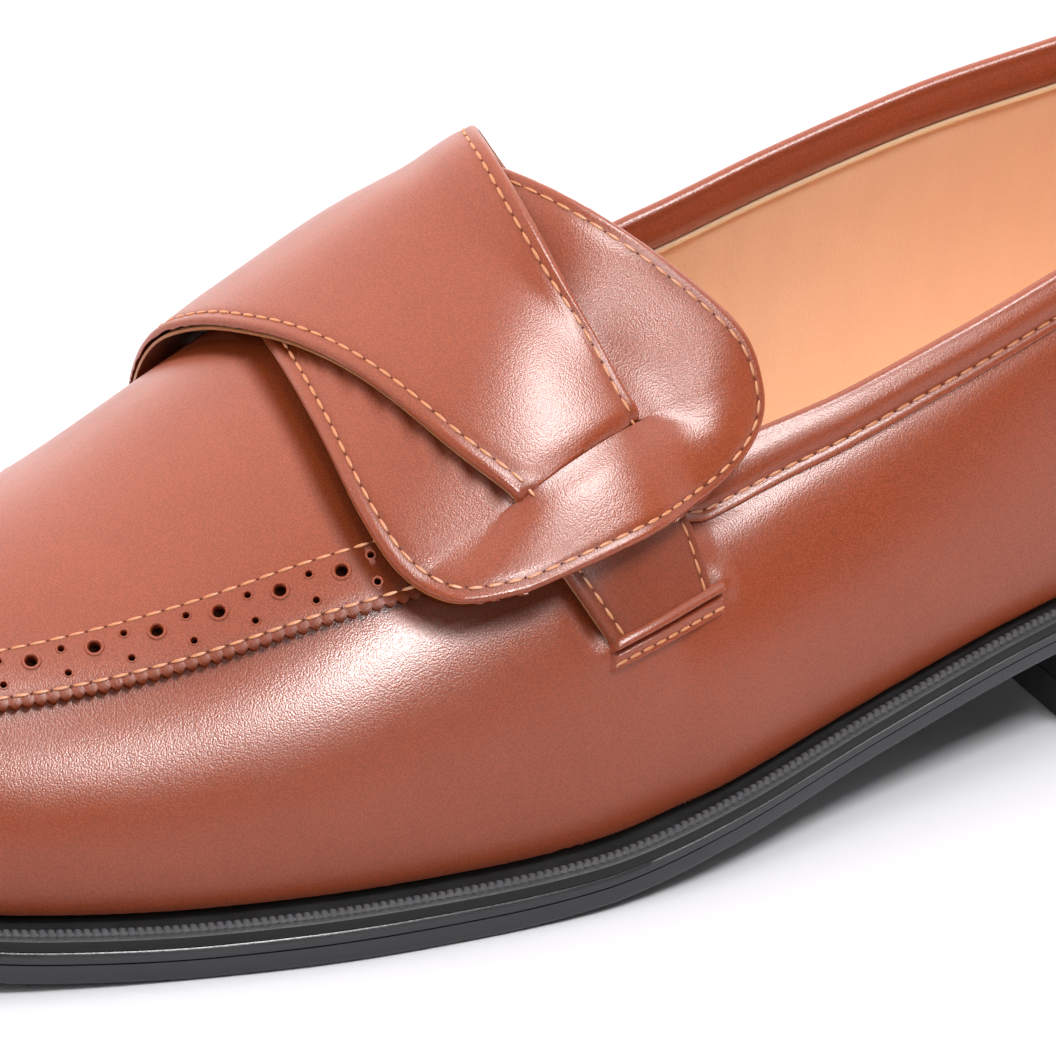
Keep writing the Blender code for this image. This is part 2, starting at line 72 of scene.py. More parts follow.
# Last: a row per section from the heel back to the toe tip, as in the CAD part.
COLUMNS = (
    "foot_s", "foot_lateral", "foot_medial", "top_s", "top_lateral", "top_medial",
    "z_lateral", "z_medial", "angle_lateral", "angle_medial",
)
SECTIONS = np.array((
    (4.0, 0.0, 0.0, 9.0, 0.0, 0.0, 97.0, 97.0, 84.0, 84.0),
    (8.5, 15.0, 15.0, 12.0, 12.0, -12.0, 96.0, 96.4, 84.0, 84.0),
    (20.0, 25.5, 25.0, 21.0, 21.5, -21.0, 93.3, 94.8, 83.0, 83.0),
    (40.0, 31.3, 29.5, 40.0, 27.0, -25.5, 88.8, 91.2, 82.0, 82.0),
    (65.0, 35.0, 29.0, 65.0, 29.5, -26.5, 81.8, 87.3, 80.0, 82.0),
    (92.0, 39.2, 26.5, 92.0, 30.5, -26.0, 72.9, 81.6, 76.0, 80.0),
    (117.0, 43.4, 27.0, 117.0, 30.0, -25.0, 65.3, 75.4, 64.0, 76.0),
    (139.0, 47.9, 32.0, 137.0, 28.5, -25.0, 62.0, 71.0, 48.0, 68.0),
    (156.0, 49.8, 38.0, 153.0, 19.0, -20.0, 79.0, 88.0, 35.0, 50.0),
    (170.0, 50.0, 42.5, 159.0, -6.7, -6.7, 91.0, 91.0, 10.0, 6.0),
    (188.0, 48.6, 46.0, 180.0, -7.7, -7.7, 77.8, 77.8, 2.0, 2.0),
    (207.0, 46.0, 48.0, 202.0, -7.6, -7.6, 65.6, 65.6, 0.0, 0.0),
    (226.0, 41.5, 47.5, 222.0, -5.6, -5.6, 55.8, 55.8, 0.0, 0.0),
    (245.0, 36.0, 43.5, 240.0, -3.8, -3.8, 50.4, 50.4, 0.0, 0.0),
    (264.0, 29.0, 36.0, 252.0, -1.8, -1.8, 48.6, 48.6, 0.0, 0.0),
    (281.0, 20.0, 25.0, 260.0, -0.6, -0.6, 47.7, 47.7, 0.0, 0.0),
    (292.0, 10.5, 12.0, 264.0, 0.0, 0.0, 47.0, 47.0, 0.0, 0.0),
    (295.0, 0.0, 0.0, 265.0, 0.0, 0.0, 46.7, 46.7, 0.0, 0.0),
))
THROAT = 9
TOE = len(SECTIONS) - 1

# Instep: crest heights, by foot station, of the arch that the wings follow over the opening.
CREST = np.array(((65.0, 116.0), (92.0, 111.0), (117.0, 106.0), (139.0, 101.0), (156.0, 96.2), (170.0, 91.0)))
FORM_ROWS = np.linspace(5.0, 13.0, 97)
FORM_GIRTHS = np.linspace(-92.0, 92.0, 93)

# Apron: distance of its edge from the crest, measured round the wall, by section row.
APRON_COLUMNS = ("row", "lateral", "medial")
APRON = np.array((
    (9.5, 58.5, 60.0),
    (10.23, 53.2, 55.0),
    (11.2, 45.1, 48.5),
    (12.26, 36.4, 41.0),
    (13.4, 29.1, 33.0),
    (14.5, 23.5, 26.0),
    (15.6, 19.5, 20.5),
    (17.0, 17.0, 17.0),
))

# Collar: distance of the topline's seam from the rim, by section row.
COLLAR = np.array(((0.0, 7.0), (5.5, 7.0), (6.2, 7.5), (7.1, 10.8), (8.0, 25.0), (9.0, 40.0)))

# Wings: ribs from the lobe to the tab, as station and girth (outer side positive) of the front and rear edge.
LATERAL_RIBS = np.array((
    (175.5, 63.2, 152.6, 66.0),
    (183.8, 59.4, 141.0, 65.7),
    (188.8, 54.8, 132.9, 62.9),
    (192.5, 48.5, 128.1, 57.9),
    (194.6, 41.3, 127.1, 52.1),
    (195.8, 33.3, 128.1, 46.2),
    (196.4, 23.5, 132.7, 38.4),
    (196.8, 12.0, 143.5, 24.0),
    (196.3, -1.0, 153.5, 9.3),
    (193.0, -12.0, 160.5, -8.0),
    (188.0, -26.0, 158.0, -24.0),
    (180.5, -42.0, 153.0, -41.0),
    (174.0, -54.0, 150.0, -55.0),
    (169.0, -68.0, 146.5, -67.0),
    (164.5, -79.0, 143.0, -77.0),
))
MEDIAL_RIBS = np.array((
    (177.0, -63.0, 151.0, -65.5),
    (185.5, -59.0, 140.0, -64.0),
    (191.0, -54.0, 133.0, -61.0),
    (196.5, -48.0, 128.8, -56.0),
    (199.2, -40.5, 127.5, -50.0),
    (200.2, -31.5, 129.0, -42.5),
    (199.8, -21.0, 137.0, -30.0),
    (198.4, -10.0, 148.5, -15.0),
    (196.4, 0.5, 155.8, 0.5),
    (190.0, 17.0, 155.9, 17.0),
    (181.8, 37.0, 155.2, 33.0),
    (175.2, 49.0, 154.6, 46.0),
    (172.0, 56.5, 150.5, 55.5),
    (168.0, 66.0, 145.7, 65.5),
    (164.8, 73.0, 143.7, 73.0),
    (161.8, 79.4, 142.7, 79.7),
))
SLIT_REAR = (152.5, 50.2)
SLIT_FRONT = (174.9, 51.0)

# Tabs: the mouths' front and rear ends.
LATERAL_MOUTH = ((161.9, 79.3), (141.9, 80.3))
MEDIAL_MOUTH = ((165.2, -79.2), (142.4, -76.9))


class Side(Enum):
    """Side of the foot, with the sign of its widths."""

    LATERAL = 1
    MEDIAL = -1

    @property
    def column(self) -> str:
        """Ending of this side's columns in the tables."""
        return self.name.lower()


# Places beside the tabs where the quarter puckers.
PUCKERS = {
    Side.LATERAL: ((162.3, 80.8), (139.9, 80.0)),
    Side.MEDIAL: ((165.5, -80.5), (140.5, -76.8)),
}


def natural_spline(xs: np.ndarray, ys: np.ndarray, x: np.ndarray, flat_ends: bool = False) -> np.ndarray:
    """Cubic spline through a table, natural or level at both ends.

    Args:
        xs: positions of the table's rows, rising.
        ys: values at those rows.
        x: positions to read.
        flat_ends: True for a curve that is level at both ends.

    Returns:
        The values at x.
    """
    count = len(xs)
    gap = np.diff(xs)
    slope = np.diff(ys) / gap
    system = np.eye(count)
    right = np.zeros(count)
    for i in range(1, count - 1):
        system[i, i - 1:i + 2] = gap[i - 1], 2 * (gap[i - 1] + gap[i]), gap[i]
        right[i] = 6 * (slope[i] - slope[i - 1])
    if flat_ends:
        system[0, :2] = 2 * gap[0], gap[0]
        right[0] = 6 * slope[0]
        system[-1, -2:] = gap[-1], 2 * gap[-1]
        right[-1] = -6 * slope[-1]
    bend = np.linalg.solve(system, right)
    i = np.clip(np.searchsorted(xs, x) - 1, 0, count - 2)
    p = (xs[i + 1] - x) / gap[i]
    q = (x - xs[i]) / gap[i]
    curve = ((p**3 - p) * bend[i] + (q**3 - q) * bend[i + 1]) * gap[i]**2 / 6
    return p * ys[i] + q * ys[i + 1] + curve


def monotone(xs: np.ndarray, ys: np.ndarray, x: np.ndarray, level_start: bool = False) -> np.ndarray:
    """Cubic through a table that never swings past its rows.

    Args:
        xs: positions of the table's rows, rising.
        ys: values at those rows.
        x: positions to read.
        level_start: True for a curve that starts level.

    Returns:
        The values at x.
    """
    gap = np.diff(xs)
    slope = np.diff(ys) / gap
    first = 0.0 if level_start else slope[0]
    tangent = np.concatenate(([first], np.zeros(len(xs) - 2), [slope[-1]]))
    for i in range(1, len(xs) - 1):
        if slope[i - 1] * slope[i] > 0:
            a = 2 * gap[i] + gap[i - 1]
            b = gap[i] + 2 * gap[i - 1]
            tangent[i] = (a + b) / (a / slope[i - 1] + b / slope[i])
    i = np.clip(np.searchsorted(xs, x) - 1, 0, len(xs) - 2)
    t = (x - xs[i]) / gap[i]
    ends = (2 * t**3 - 3 * t**2 + 1) * ys[i] + (3 * t**2 - 2 * t**3) * ys[i + 1]
    return ends + ((t**3 - 2 * t**2 + t) * tangent[i] + (t**3 - t**2) * tangent[i + 1]) * gap[i]


def ease(x: np.ndarray) -> np.ndarray:
    """Smooth step from 0 to 1."""
    x = np.clip(x, 0, 1)
    return x * x * (3 - 2 * x)


def unit(vectors: np.ndarray) -> np.ndarray:
    """Vectors of length one along the last axis."""
    return vectors / np.maximum(np.linalg.norm(vectors, axis=-1, keepdims=True), 1e-9)


def bilinear(values: np.ndarray, i_at: np.ndarray, j_at: np.ndarray) -> np.ndarray:
    """Reads a grid of vectors between its rows and columns.

    Args:
        values: grid of shape (rows, columns, 3).
        i_at: fractional rows to read.
        j_at: fractional columns to read.

    Returns:
        The vectors there.
    """
    i = np.clip(np.floor(i_at).astype(int), 0, values.shape[0] - 2)
    j = np.clip(np.floor(j_at).astype(int), 0, values.shape[1] - 2)
    p = np.clip(i_at - i, 0, 1)[..., None]
    q = np.clip(j_at - j, 0, 1)[..., None]
    near = (1 - q) * values[i, j] + q * values[i, j + 1]
    far = (1 - q) * values[i + 1, j] + q * values[i + 1, j + 1]
    return (1 - p) * near + p * far


def evenly(points: np.ndarray, pitch: float) -> np.ndarray:
    """Fractional indices along a line of points, at an even distance close to the pitch.

    Args:
        points: the line.
        pitch: wanted distance.

    Returns:
        The indices, half a step in from each end.
    """
    run = np.concatenate(([0.0], np.cumsum(np.linalg.norm(np.diff(points, axis=0), axis=1))))
    count = max(int(round(run[-1] / pitch)), 1)
    return np.interp((np.arange(count) + 0.5) * run[-1] / count, run, np.arange(len(points)))


def along(values: np.ndarray, at: np.ndarray) -> np.ndarray:
    """Reads rows of a table at fractional indices."""
    index = np.arange(len(values))
    return np.stack([np.interp(at, index, values[:, k]) for k in range(values.shape[1])], -1)


def gap_to(points: np.ndarray, line: np.ndarray) -> np.ndarray:
    """Distance of each point of a grid from the nearest point of a line."""
    return np.stack([np.linalg.norm(row[:, None] - line[None], axis=-1).min(axis=1) for row in points])


def stepped(x: np.ndarray, steps: Sequence[tuple[float, float, float]]) -> np.ndarray:
    """Sum of smooth steps, each of a height, a start and a length."""
    return sum(height * ease((x - start) / length) for height, start, length in steps)


@dataclass
class Last:
    """The foot shape under the leather, with its surface read by section row and girth."""

    welt_thickness: float = 3.0
    gap: float = 0.3
    lean: float = math.radians(9.0)
    handle: float = 0.42
    crest_x: float = -7.0
    dome_power: float = 2.4
    row_smoothing: int = 30
    girth_smoothing: int = 10
    girth_step: float = 0.5
    blend_start: float = 4.0
    blend_run: float = 8.0
    form_floor: float = 45.0
    map_rows: np.ndarray = field(default_factory=lambda: np.linspace(0, TOE, 341))

    def __post_init__(self) -> None:
        """Works out the plan centre, the map of each side and the instep form."""
        rows = np.linspace(0, TOE, 56)
        edge = np.concatenate([self.sole_edge(rows, side) for side in Side])
        self.centre = (edge.min(axis=0) + edge.max(axis=0)) / 2
        self.lengths: dict[Side, np.ndarray] = {}
        self.maps = {side: self.side_map(side) for side in Side}
        on_vamp = self.map_rows >= THROAT
        crest = unit(sum(self.maps[side][1][on_vamp, 0] for side in Side))
        for side in Side:
            self.maps[side][1][on_vamp, 0] = crest
        self.form = self.instep_form()

    def placed(self, points: np.ndarray) -> np.ndarray:
        """Last coordinates to metres in the CAD frame, toe towards -Y."""
        x, s, z = np.moveaxis(np.asarray(points, float), -1, 0)
        return np.stack([x - self.centre[0], self.centre[1] - s, z], -1) * MM

    def sole_run(self, name: str, s: np.ndarray) -> np.ndarray:
        """A column of the sole table at the given stations."""
        return monotone(SOLE[:, 0], SOLE[:, SOLE_COLUMNS.index(name)], np.asarray(s, float))

    def welt_top(self, s: np.ndarray) -> np.ndarray:
        """Height of the welt's upper face."""
        return self.sole_run("underside", s) + self.sole_run("thickness", s) + self.gap + self.welt_thickness

    def column(self, name: str, row: np.ndarray) -> np.ndarray:
        """A column of the section table at fractional rows.

        Args:
            name: name of the column.
            row: section rows.

        Returns:
            The values there.
        """
        values = SECTIONS[:, COLUMNS.index(name)]
        row = np.asarray(row, float)
        index = np.arange(len(values), dtype=float)
        if name.startswith("foot"):
            return natural_spline(index, values, row, flat_ends=name == "foot_s")
        mirrored = name.startswith(("top_s", "z_"))
        open_part = monotone(index[:THROAT + 1], values[:THROAT + 1], np.minimum(row, THROAT), mirrored)
        closed_part = natural_spline(index[THROAT:], values[THROAT:], np.maximum(row, THROAT))
        return np.where(row < THROAT, open_part, closed_part)

    def foot(self, row: np.ndarray, side: Side) -> np.ndarray:
        """Bottom edge of the upper.

        Args:
            row: section rows.
            side: side of the foot.

        Returns:
            Points in last coordinates.
        """
        s = self.column("foot_s", row)
        width = side.value * self.column("foot_" + side.column, row)
        return np.stack([width, s, self.welt_top(s) + self.gap], -1)

    def top(self, row: np.ndarray, side: Side) -> np.ndarray:
        """Topline, and the crest of the vamp in front of the throat."""
        names = ("top_" + side.column, "top_s", "z_" + side.column)
        return np.stack([self.column(name, row) for name in names], -1)

    def outward(self, row: np.ndarray, side: Side) -> np.ndarray:
        """Normal of the foot outline in plan.

        Args:
            row: section rows.
            side: side of the foot.

        Returns:
            Unit vectors in plan.
        """
        before = np.clip(row - NUDGE, 0, TOE)
        after = np.clip(row + NUDGE, 0, TOE)
        run = unit(self.foot(after, side)[:, :2] - self.foot(before, side)[:, :2])
        normal = side.value * np.stack([run[:, 1], -run[:, 0]], -1)
        normal[row <= 0] = (0, -1)
        normal[row >= TOE] = (0, 1)
        return normal

    def outline(self, row: np.ndarray, side: Side, reach: np.ndarray | float) -> np.ndarray:
        """Plan outline at a distance outside the upper's foot."""
        spread = np.broadcast_to(reach, len(row))[:, None]
        return self.foot(row, side)[:, :2] + self.outward(row, side) * spread

    def sole_edge(self, row: np.ndarray, side: Side, inset: np.ndarray | float = 0.0) -> np.ndarray:
        """Plan outline of the welt, moved inwards by the inset."""
        return self.outline(row, side, self.sole_run("reach", self.column("foot_s", row)) - inset)

    def wall(self, row: np.ndarray, side: Side, v: np.ndarray) -> np.ndarray:
        """Outer surface of the upper: v runs from 0 at the foot to 1 at the top.

        Args:
            row: section rows.
            side: side of the foot.
            v: shares of the way up.

        Returns:
            Points of shape (rows, shares, 3).
        """
        row = np.asarray(row, float)
        base = self.foot(row, side)
        crown = self.top(row, side)
        normal = self.outward(row, side)
        plan = base[:, :2] - crown[:, :2]
        spread = np.linalg.norm(plan, axis=1)[:, None]
        blend = np.clip((spread - self.blend_start) / self.blend_run, 0, 1)
        down = unit(blend * plan / np.maximum(spread, 1e-6) + (1 - blend) * normal)
        middle = np.clip(row, THROAT + 0.01, TOE - 1.0)
        rise = self.top(middle + NUDGE, side) - self.top(middle - NUDGE, side)
        slope = rise[:, 2] / rise[:, 1]
        on_vamp = np.clip(row - THROAT + 1, 0, 1)
        angle = np.radians(self.column("angle_" + side.column, row))
        angle = (angle - on_vamp * np.arctan(slope * down[:, 1]))[:, None]
        chord = self.handle * np.linalg.norm(base - crown, axis=1)[:, None]
        lean = np.hstack([normal * math.sin(self.lean), np.full((len(row), 1), math.cos(self.lean))])
        fall = np.hstack([down * np.cos(angle), -np.sin(angle)])
        a, b, c, d = (p[:, None] for p in (base, base + chord * lean, crown + chord * fall, crown))
        v = np.asarray(v, float)[None, :, None]
        return (1 - v)**3 * a + 3 * v * (1 - v)**2 * b + 3 * v * v * (1 - v) * c + v**3 * d

    def side_map(self, side: Side) -> tuple[np.ndarray, np.ndarray]:
        """Points and normals of one side on an even grid of rows and girths from the top.

        Args:
            side: side of the foot.

        Returns:
            The points and the normals, each of shape (rows, girths, 3).
        """
        fine = self.wall(self.map_rows, side, np.linspace(1, 0, 201))
        step = np.linalg.norm(np.diff(fine, axis=1), axis=2)
        girth = np.concatenate([np.zeros((len(fine), 1)), np.cumsum(step, axis=1)], 1)
        self.lengths[side] = girth[:, -1]
        girths = np.arange(0, girth.max(), self.girth_step)
        points = np.array([
            np.stack([np.interp(girths, run, line[:, k]) for k in range(3)], -1)
            for run, line in zip(girth, fine)
        ])
        across = np.array([
            np.stack([np.interp(girths, run, slope[:, k]) for k in range(3)], -1)
            for run, slope in zip(girth, np.gradient(fine, axis=1))
        ])
        normals = unit(np.cross(np.gradient(points, axis=0), across)) * -side.value
        normals[[0, -1], :, 0] = 0
        return points, unit(normals)

    def on_wall(
        self, side: Side, row: np.ndarray, girth: np.ndarray, lift: np.ndarray | float = 0.0,
    ) -> np.ndarray:
        """Points at a girth from the top of one side, lifted off the leather's outer face.

        Args:
            side: side of the foot.
            row: section rows.
            girth: distances round the wall from the top.
            lift: distance off the face.

        Returns:
            Points in last coordinates.
        """
        i_at = np.asarray(row, float) / TOE * (len(self.map_rows) - 1)
        j_at = np.asarray(girth, float) / self.girth_step
        points, normals = (bilinear(values, i_at, j_at) for values in self.maps[side])
        return points + unit(normals) * np.asarray(lift, float)[..., None]

    def wall_normal(self, side: Side, row: np.ndarray, girth: np.ndarray) -> np.ndarray:
        """Outward normals at a girth from the top of one side."""
        return self.on_wall(side, row, girth, 1.0) - self.on_wall(side, row, girth, 0.0)

    def wall_length(self, side: Side, row: np.ndarray) -> np.ndarray:
        """Girth from the top of one side down to the welt."""
        return np.interp(row, self.map_rows, self.lengths[side])

    def arch(self, row: np.ndarray, v: np.ndarray) -> np.ndarray:
        """Dome over the opening from the lateral to the medial topline.

        Args:
            row: section rows.
            v: shares of the way across.

        Returns:
            Points of shape (rows, shares, 3).
        """
        lateral = self.top(row, Side.LATERAL)[:, None]
        medial = self.top(row, Side.MEDIAL)[:, None]
        v = np.asarray(v, float)[None, :, None]
        dome = lateral + (medial - lateral) * v
        crest = monotone(CREST[:, 0], CREST[:, 1], self.column("foot_s", row))
        rise = crest[:, None] - (lateral[..., 2] + medial[..., 2]) / 2
        dome[..., 2] += rise * (1 - np.abs(2 * v[..., 0] - 1)**self.dome_power)
        return dome

    def instep_form(self) -> tuple[np.ndarray, np.ndarray]:
        """Points and normals over the instep, by section row and girth from the crest.

        Returns:
            The points and the normals, each of shape (rows, girths, 3).
        """
        v = np.linspace(0, 1, 49)
        bridge = self.arch(np.minimum(FORM_ROWS, THROAT - 1e-6), v)
        on_vamp = FORM_ROWS >= THROAT
        bridge[on_vamp] = self.top(FORM_ROWS, Side.LATERAL)[on_vamp][:, None]
        walls = (self.wall(FORM_ROWS, Side.LATERAL, v), self.wall(FORM_ROWS, Side.MEDIAL, v)[:, ::-1])
        lines = np.concatenate([walls[0], bridge[:, 1:-1], walls[1]], 1)
        crest_x = np.where(on_vamp, self.column("top_lateral", FORM_ROWS), self.crest_x)
        points = np.zeros((len(FORM_ROWS), len(FORM_GIRTHS), 3))
        for i, line in enumerate(lines):
            girth = np.concatenate(([0], np.cumsum(np.linalg.norm(np.diff(line, axis=0), axis=1))))
            over = line[:, 2] > self.form_floor
            crest = np.interp(-crest_x[i], -line[over, 0], girth[over])
            at = np.clip(crest - FORM_GIRTHS, 0, girth[-1])
            points[i] = np.stack([np.interp(at, girth, line[:, k]) for k in range(3)], -1)
            points[i, :, 2] -= np.abs(crest - FORM_GIRTHS - at)
        for _ in range(self.row_smoothing):
            points[1:-1] = (points[:-2] + 2 * points[1:-1] + points[2:]) / 4
        for _ in range(self.girth_smoothing):
            points[:, 1:-1] = (points[:, :-2] + 2 * points[:, 1:-1] + points[:, 2:]) / 4
        normals = unit(np.cross(np.gradient(points, axis=0), np.gradient(points, axis=1)))
        return points, normals * np.sign(normals[:, len(FORM_GIRTHS) // 2, 2].mean())

    def on_form(self, s: np.ndarray, g: np.ndarray, height: np.ndarray | float = 0.0) -> np.ndarray:
        """Points above the instep at foot station s, girth g and the given height.

        Args:
            s: stations.
            g: girths from the crest.
            height: distance above the instep.

        Returns:
            Points in last coordinates.
        """
        i_at = np.interp(s, self.column("foot_s", FORM_ROWS), np.arange(len(FORM_ROWS)))
        j_at = np.interp(g, FORM_GIRTHS, np.arange(len(FORM_GIRTHS)))
        points, normals = (bilinear(values, i_at, j_at) for values in self.form)
        return points + normals * np.asarray(height, float)[..., None]


LAST = Last()


def linear(hex_colour: str) -> tuple[float, float, float, float]:
    """Turns an sRGB hex colour into the linear colour that Blender's sockets take.

    Args:
        hex_colour: six hex digits.

    Returns:
        Red, green, blue and alpha.
    """
    channels = [int(hex_colour[i:i + 2], 16) / 255 for i in (0, 2, 4)]
    red, green, blue = (c / 12.92 if c <= 0.04045 else ((c + 0.055) / 1.055)**2.4 for c in channels)
    return red, green, blue, 1.0


def add_node(tree: bpy.types.NodeTree, kind: str, inputs: dict[Any, Any] | None = None, **fields: Any) -> Any:
    """Adds a node with its settings and links.

    Args:
        tree: the node tree.
        kind: the node's type name.
        inputs: for each socket name or number, a value or the socket to link.
        **fields: the node's own settings.

    Returns:
        The node.
    """
    node = tree.nodes.new(kind)
    for name, value in fields.items():
        setattr(node, name, value)
    for name, value in (inputs or {}).items():
        if isinstance(value, bpy.types.NodeSocket):
            tree.links.new(value, node.inputs[name])
        else:
            node.inputs[name].default_value = value
    return node


# Noise values between which a finish goes from its first to its second roughness.
DRIFT_RANGE = (0.3, 0.7)
# Distances from the middle of a grain cell, in cells, over which it darkens, and the gain in its middle.
PORE_RANGE = (0.05, 0.6)
PORE_GAIN = 1.5
# Specular level of leather with no wear and no painted shade.
SPECULAR = 0.5


@dataclass(frozen=True)
class Finish:
    """A surface: two close colours that drift over it, gloss, and a grain of a real size."""

    name: str
    colour: str
    second: str
    roughness: tuple[float, float]
    drift_mm: float
    grain_mm: float
    grain_depth_mm: float
    ior: float = 1.5
    coat: float = 0.0
    coat_roughness: float = 0.3
    sheen: float = 0.0
    crease_mm: float = 0.0
    crease_depth_mm: float = 0.0
    # Colour that the tone attribute mixes in, darker and duller: real wear, and painted shade where the tone
    # is set for it.
    wear_and_shade: str = ""
    wear_and_shade_dulling: float = 0.3
    pores: float = 0.0

    def material(self) -> bpy.types.Material:
        """The finish as a node material, made once.

        Returns:
            The material.
        """
        found = bpy.data.materials.get(self.name)
        if found:
            return found
        made = bpy.data.materials.new(self.name)
        made.use_nodes = True
        tree = made.node_tree
        shader = tree.nodes["Principled BSDF"]
        place = add_node(tree, "ShaderNodeTexCoord").outputs["Object"]
        drift = add_node(tree, "ShaderNodeTexNoise", {
            "Vector": place, "Scale": 1 / (self.drift_mm * MM), "Detail": 4.0, "Roughness": 0.6,
        })
        grain = add_node(tree, "ShaderNodeTexVoronoi", {"Vector": place, "Scale": 1 / (self.grain_mm * MM)})
        colour = add_node(tree, "ShaderNodeMix", {
            0: drift.outputs["Fac"], 6: linear(self.colour), 7: linear(self.second),
        }, data_type="RGBA").outputs[2]
        gloss = add_node(tree, "ShaderNodeMapRange", {
            "Value": drift.outputs["Fac"], "From Min": DRIFT_RANGE[0], "From Max": DRIFT_RANGE[1],
            "To Min": self.roughness[0], "To Max": self.roughness[1],
        }).outputs["Result"]
        # The tone attribute darkens and dulls the surface, both for real wear and for painted shade.
        if self.wear_and_shade:
            wear_and_shade_share = add_node(tree, "ShaderNodeAttribute", attribute_name="tone").outputs["Fac"]
            colour = add_node(tree, "ShaderNodeMix", {
                0: wear_and_shade_share, 6: colour, 7: linear(self.wear_and_shade),
            }, data_type="RGBA").outputs[2]
            gloss = add_node(tree, "ShaderNodeMath", {
                0: wear_and_shade_share, 1: self.wear_and_shade_dulling, 2: gloss,
            }, operation="MULTIPLY_ADD").outputs["Value"]
            shine = add_node(tree, "ShaderNodeMath", {
                0: wear_and_shade_share, 1: -SPECULAR, 2: SPECULAR,
            }, operation="MULTIPLY_ADD").outputs["Value"]
            wax = add_node(tree, "ShaderNodeMath", {
                0: wear_and_shade_share, 1: -self.coat, 2: self.coat,
            }, operation="MULTIPLY_ADD").outputs["Value"]
            tree.links.new(shine, shader.inputs["Specular IOR Level"])
            tree.links.new(wax, shader.inputs["Coat Weight"])
        if self.pores:
            shade = add_node(tree, "ShaderNodeMapRange", {
                "Value": grain.outputs["Distance"], "From Min": PORE_RANGE[0], "From Max": PORE_RANGE[1],
                "To Min": 1 + PORE_GAIN * self.pores, "To Max": 1 - self.pores,
            })
            colour = add_node(tree, "ShaderNodeVectorMath", {
                0: colour, "Scale": shade.outputs["Result"],
            }, operation="SCALE").outputs["Vector"]
        relief = add_node(tree, "ShaderNodeBump", {
            "Strength": 1.0, "Distance": self.grain_depth_mm * MM, "Height": grain.outputs["Distance"],
        }, invert=True)
        if self.crease_mm:
            folds = add_node(tree, "ShaderNodeTexNoise", {
                "Vector": place, "Scale": 1 / (self.crease_mm * MM), "Detail": 3.0, "Distortion": 1.2,
            })
            relief = add_node(tree, "ShaderNodeBump", {
                "Strength": 1.0, "Distance": self.crease_depth_mm * MM,
                "Height": folds.outputs["Fac"], "Normal": relief.outputs["Normal"],
            })
        links = {
            "Base Color": colour, "Roughness": gloss, "Normal": relief.outputs["Normal"],
            "Coat Normal": relief.outputs["Normal"],
        }
        for name, socket in links.items():
            tree.links.new(socket, shader.inputs[name])
        settings = {
            "IOR": self.ior, "Coat Weight": self.coat, "Coat Roughness": self.coat_roughness,
            "Sheen Weight": self.sheen, "Metallic": 0.0,
        }
        for name, value in settings.items():
            shader.inputs[name].default_value = value
        return made


# Aniline calf, plated smooth and waxed: fine pebble grain under a satin gloss, darker and duller at worn cut
# edges and in seam troughs, and with painted shade under the straps' edges and on the tabs.
CALF = Finish(
    "tan_calf", "a44c2a", "984326", (0.28, 0.35), 14.0, 0.3, 0.026, ior=1.41,
    coat=0.16, coat_roughness=0.24, wear_and_shade="64280f", pores=0.18, wear_and_shade_dulling=0.4,
)
# Cut and dyed leather edge: duller and a little lighter than the face.
EDGE = Finish("dyed_leather_edge", "b9794f", "a5683f", (0.42, 0.55), 5.0, 0.35, 0.04)
# Vegetable-tanned lining leather: pale tan, matt, softly creased where it lies loose.
LINING = Finish(
    "tan_lining_leather", "f9d2af", "f2c6a2", (0.55, 0.68), 18.0, 0.5, 0.03, sheen=0.08,
    crease_mm=14.0, crease_depth_mm=0.15,
)
# Rolled piping of the same lining leather, in two close pale tans.
PIPING = Finish("pale_piping_leather", "f0cda2", "e4bb8c", (0.5, 0.6), 8.0, 0.4, 0.02)
# Waxed polyester thread: orange tan with a soft shine along each stitch.
THREAD = Finish("waxed_tan_thread", "d78d5c", "c67a49", (0.42, 0.52), 1.5, 0.22, 0.03)
# Floor of the punched holes: a near-black, matt strip of painted shade.
HOLE_SHADE = Finish("raw_leather_pit", "241008", "30150b", (0.9, 0.95), 2.0, 0.3, 0.03, ior=1.05)
# Leather round a needle's hole, pressed in, and coloured dark as painted shade in the hole.
NEEDLE = Finish("pressed_and_shaded_needle_hole", "62301c", "703722", (0.7, 0.8), 2.0, 0.3, 0.03, ior=1.2)
# Black edge ink over leather, waxed and hot-ironed: satin with faint streaks.
SOLE_INK = Finish(
    "black_edge_ink", "17161a", "222126", (0.30, 0.42), 9.0, 0.6, 0.02, coat=0.15, coat_roughness=0.25,
)
# Welt of the same black leather, wheeled: the crests of its ridges are coloured a dull grey.
WELT_INK = Finish(
    "black_welt_leather", "0b0a0c", "121114", (0.5, 0.6), 6.0, 0.5, 0.03, ior=1.35, wear_and_shade="6c6a70",
)
# Moulded black rubber of the heel lift: matt with a fine sand texture.
RUBBER = Finish("black_lift_rubber", "121214", "1a1a1c", (0.6, 0.72), 7.0, 0.5, 0.05)
# Painted studio floor, matt and nearly white.
FLOOR = Finish("white_studio_floor", "e4e3e6", "e0dfe3", (0.75, 0.85), 220.0, 2.5, 0.0)


